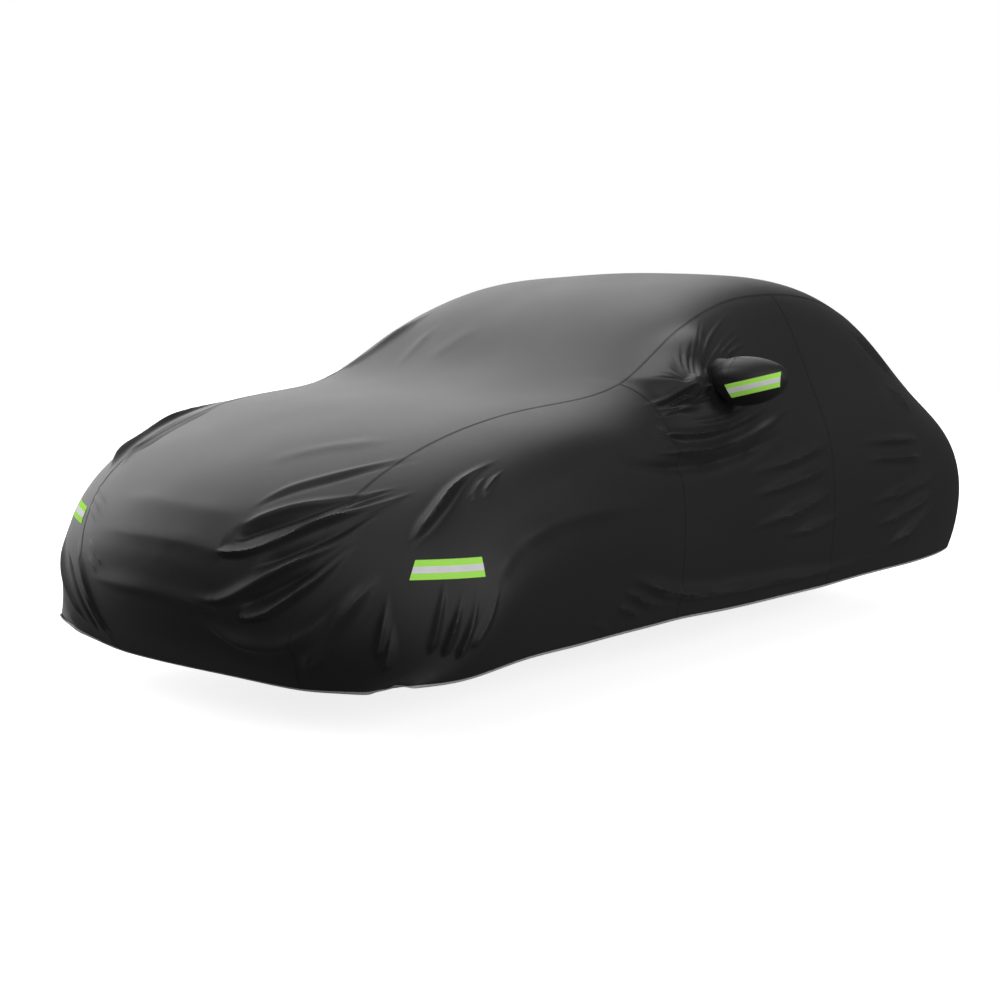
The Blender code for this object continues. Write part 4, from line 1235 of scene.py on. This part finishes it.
def add_world():
    """A studio that is bright behind and above the cover, and dim elsewhere, with a white
    backdrop."""
    world = bpy.data.worlds.new("studio")
    bpy.context.scene.world = world
    world.use_nodes = True
    nodes, links = world.node_tree.nodes, world.node_tree.links
    light = nodes["Background"]
    way = nodes.new("ShaderNodeTexCoord")
    facing = nodes.new("ShaderNodeVectorMath")
    facing.operation = "DOT_PRODUCT"
    facing.inputs[1].default_value = SKY_FROM
    links.new(way.outputs["Generated"], facing.inputs[0])
    fade = nodes.new("ShaderNodeMapRange")
    fade.interpolation_type = "SMOOTHSTEP"
    for key, value in (("From Min", SKY_FADE[0]), ("From Max", SKY_FADE[1]),
                       ("To Min", SKY_DIM), ("To Max", SKY_BRIGHT)):
        fade.inputs[key].default_value = value
    links.new(facing.outputs["Value"], fade.inputs["Value"])
    light.inputs["Color"].default_value = rgba(WHITE)
    links.new(fade.outputs["Result"], light.inputs["Strength"])
    backdrop = nodes.new("ShaderNodeBackground")
    backdrop.inputs["Color"].default_value = rgba(WHITE)
    ray = nodes.new("ShaderNodeLightPath")
    mix = nodes.new("ShaderNodeMixShader")
    links.new(ray.outputs["Is Camera Ray"], mix.inputs[0])
    links.new(light.outputs[0], mix.inputs[1])
    links.new(backdrop.outputs[0], mix.inputs[2])
    links.new(mix.outputs[0], nodes["World Output"].inputs["Surface"])


def add_floor():
    """A plain pale floor that only shows the soft shade under the cover."""
    wires = Wires("floor")
    wires.shade({"Base Color": rgba(FLOOR_COLOUR), "Roughness": 0.9, "Specular IOR Level": 0.0,
                 "Emission Color": rgba(WHITE), "Emission Strength": FLOOR_GLOW})
    half = FLOOR_SIZE / 2
    corners = [(x, y, -ORIGIN[2]) for x, y in ((-half, -half), (half, -half), (half, half),
                                               (-half, half))]
    floor = add_mesh("floor", corners, [(0, 1, 2, 3)], wires.material)
    floor.visible_diffuse = floor.visible_glossy = False
    floor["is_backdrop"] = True


def aimed(place, back, roll=0.0):
    """The world matrix of a thing at a place in the tables' frame, with its back to a way and
    turned by a roll."""
    back = back / np.linalg.norm(back)
    right = np.cross((0, 0, 1), back)
    right /= np.linalg.norm(right)
    up = np.cross(back, right)
    turned = math.cos(roll) * right + math.sin(roll) * up
    up = math.cos(roll) * up - math.sin(roll) * right
    matrix = np.eye(4)
    matrix[:3] = np.stack([turned, up, back, np.array(place) - ORIGIN], 1)
    return Matrix(matrix.tolist())


def add_light(row):
    """One sun, aimed at a point."""
    data = bpy.data.lights.new(row["name"], "SUN")
    data.energy, data.angle = row["power"], row["angle"]
    lamp = put(row["name"], data)
    lamp.matrix_world = aimed(row["place"], np.subtract(row["place"], row["aim"]))


def add_camera():
    """The camera at the photograph's viewing angle."""
    level = math.cos(CAMERA_TILT)
    back = np.array((math.sin(CAMERA_YAW) * level, -math.cos(CAMERA_YAW) * level,
                     math.sin(CAMERA_TILT)))
    data = bpy.data.cameras.new("camera")
    data.sensor_width = SENSOR
    data.lens = CAMERA_LENS * SENSOR
    camera = put("camera", data)
    camera.matrix_world = aimed(CAMERA_AT, back, CAMERA_ROLL)
    bpy.context.scene.camera = camera


class COVER_PT_panel(bpy.types.Panel):
    """The cover's sizes, colours and pieces"""
    bl_idname = "COVER_PT_panel"
    bl_label = "Fitted cover"
    bl_space_type = "VIEW_3D"
    bl_region_type = "UI"
    bl_category = "Cover"

    def draw(self, context):
        for group in (context.scene.cover_sizes, context.scene.cover_colours):
            for key in group.bl_rna.properties.keys():
                if key not in ("rna_type", "name"):
                    self.layout.prop(group, key)
        for operator in OPERATORS:
            self.layout.operator(operator.bl_idname)


OPERATORS = (COVER_OT_stage, COVER_OT_panels, COVER_OT_pocket, COVER_OT_tapes, COVER_OT_hem,
             COVER_OT_stitches, COVER_OT_declare)
CLASSES = (CoverSizes, CoverColours, *OPERATORS, COVER_PT_panel)


def register():
    """Registers the classes and the scene's settings."""
    for cls in CLASSES:
        bpy.utils.register_class(cls)
    bpy.types.Scene.cover_sizes = bpy.props.PointerProperty(type=CoverSizes)
    bpy.types.Scene.cover_colours = bpy.props.PointerProperty(type=CoverColours)


def unregister():
    """Takes back what register did."""
    del bpy.types.Scene.cover_colours
    del bpy.types.Scene.cover_sizes
    for cls in reversed(CLASSES):
        bpy.utils.unregister_class(cls)


def main():
    """Makes the cover and its studio."""
    register()
    bpy.ops.cover.stage()
    bpy.ops.cover.panels()
    bpy.ops.cover.pocket()
    bpy.ops.cover.tapes()
    bpy.ops.cover.hem()
    bpy.ops.cover.stitches()
    bpy.ops.cover.declare()
    boxes = {name: [[float(x) for x in corner] for corner in box]
             for name, box in (("cad", SOLID_BOX), ("visual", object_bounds()))}


if __name__ == "__main__":
    main()
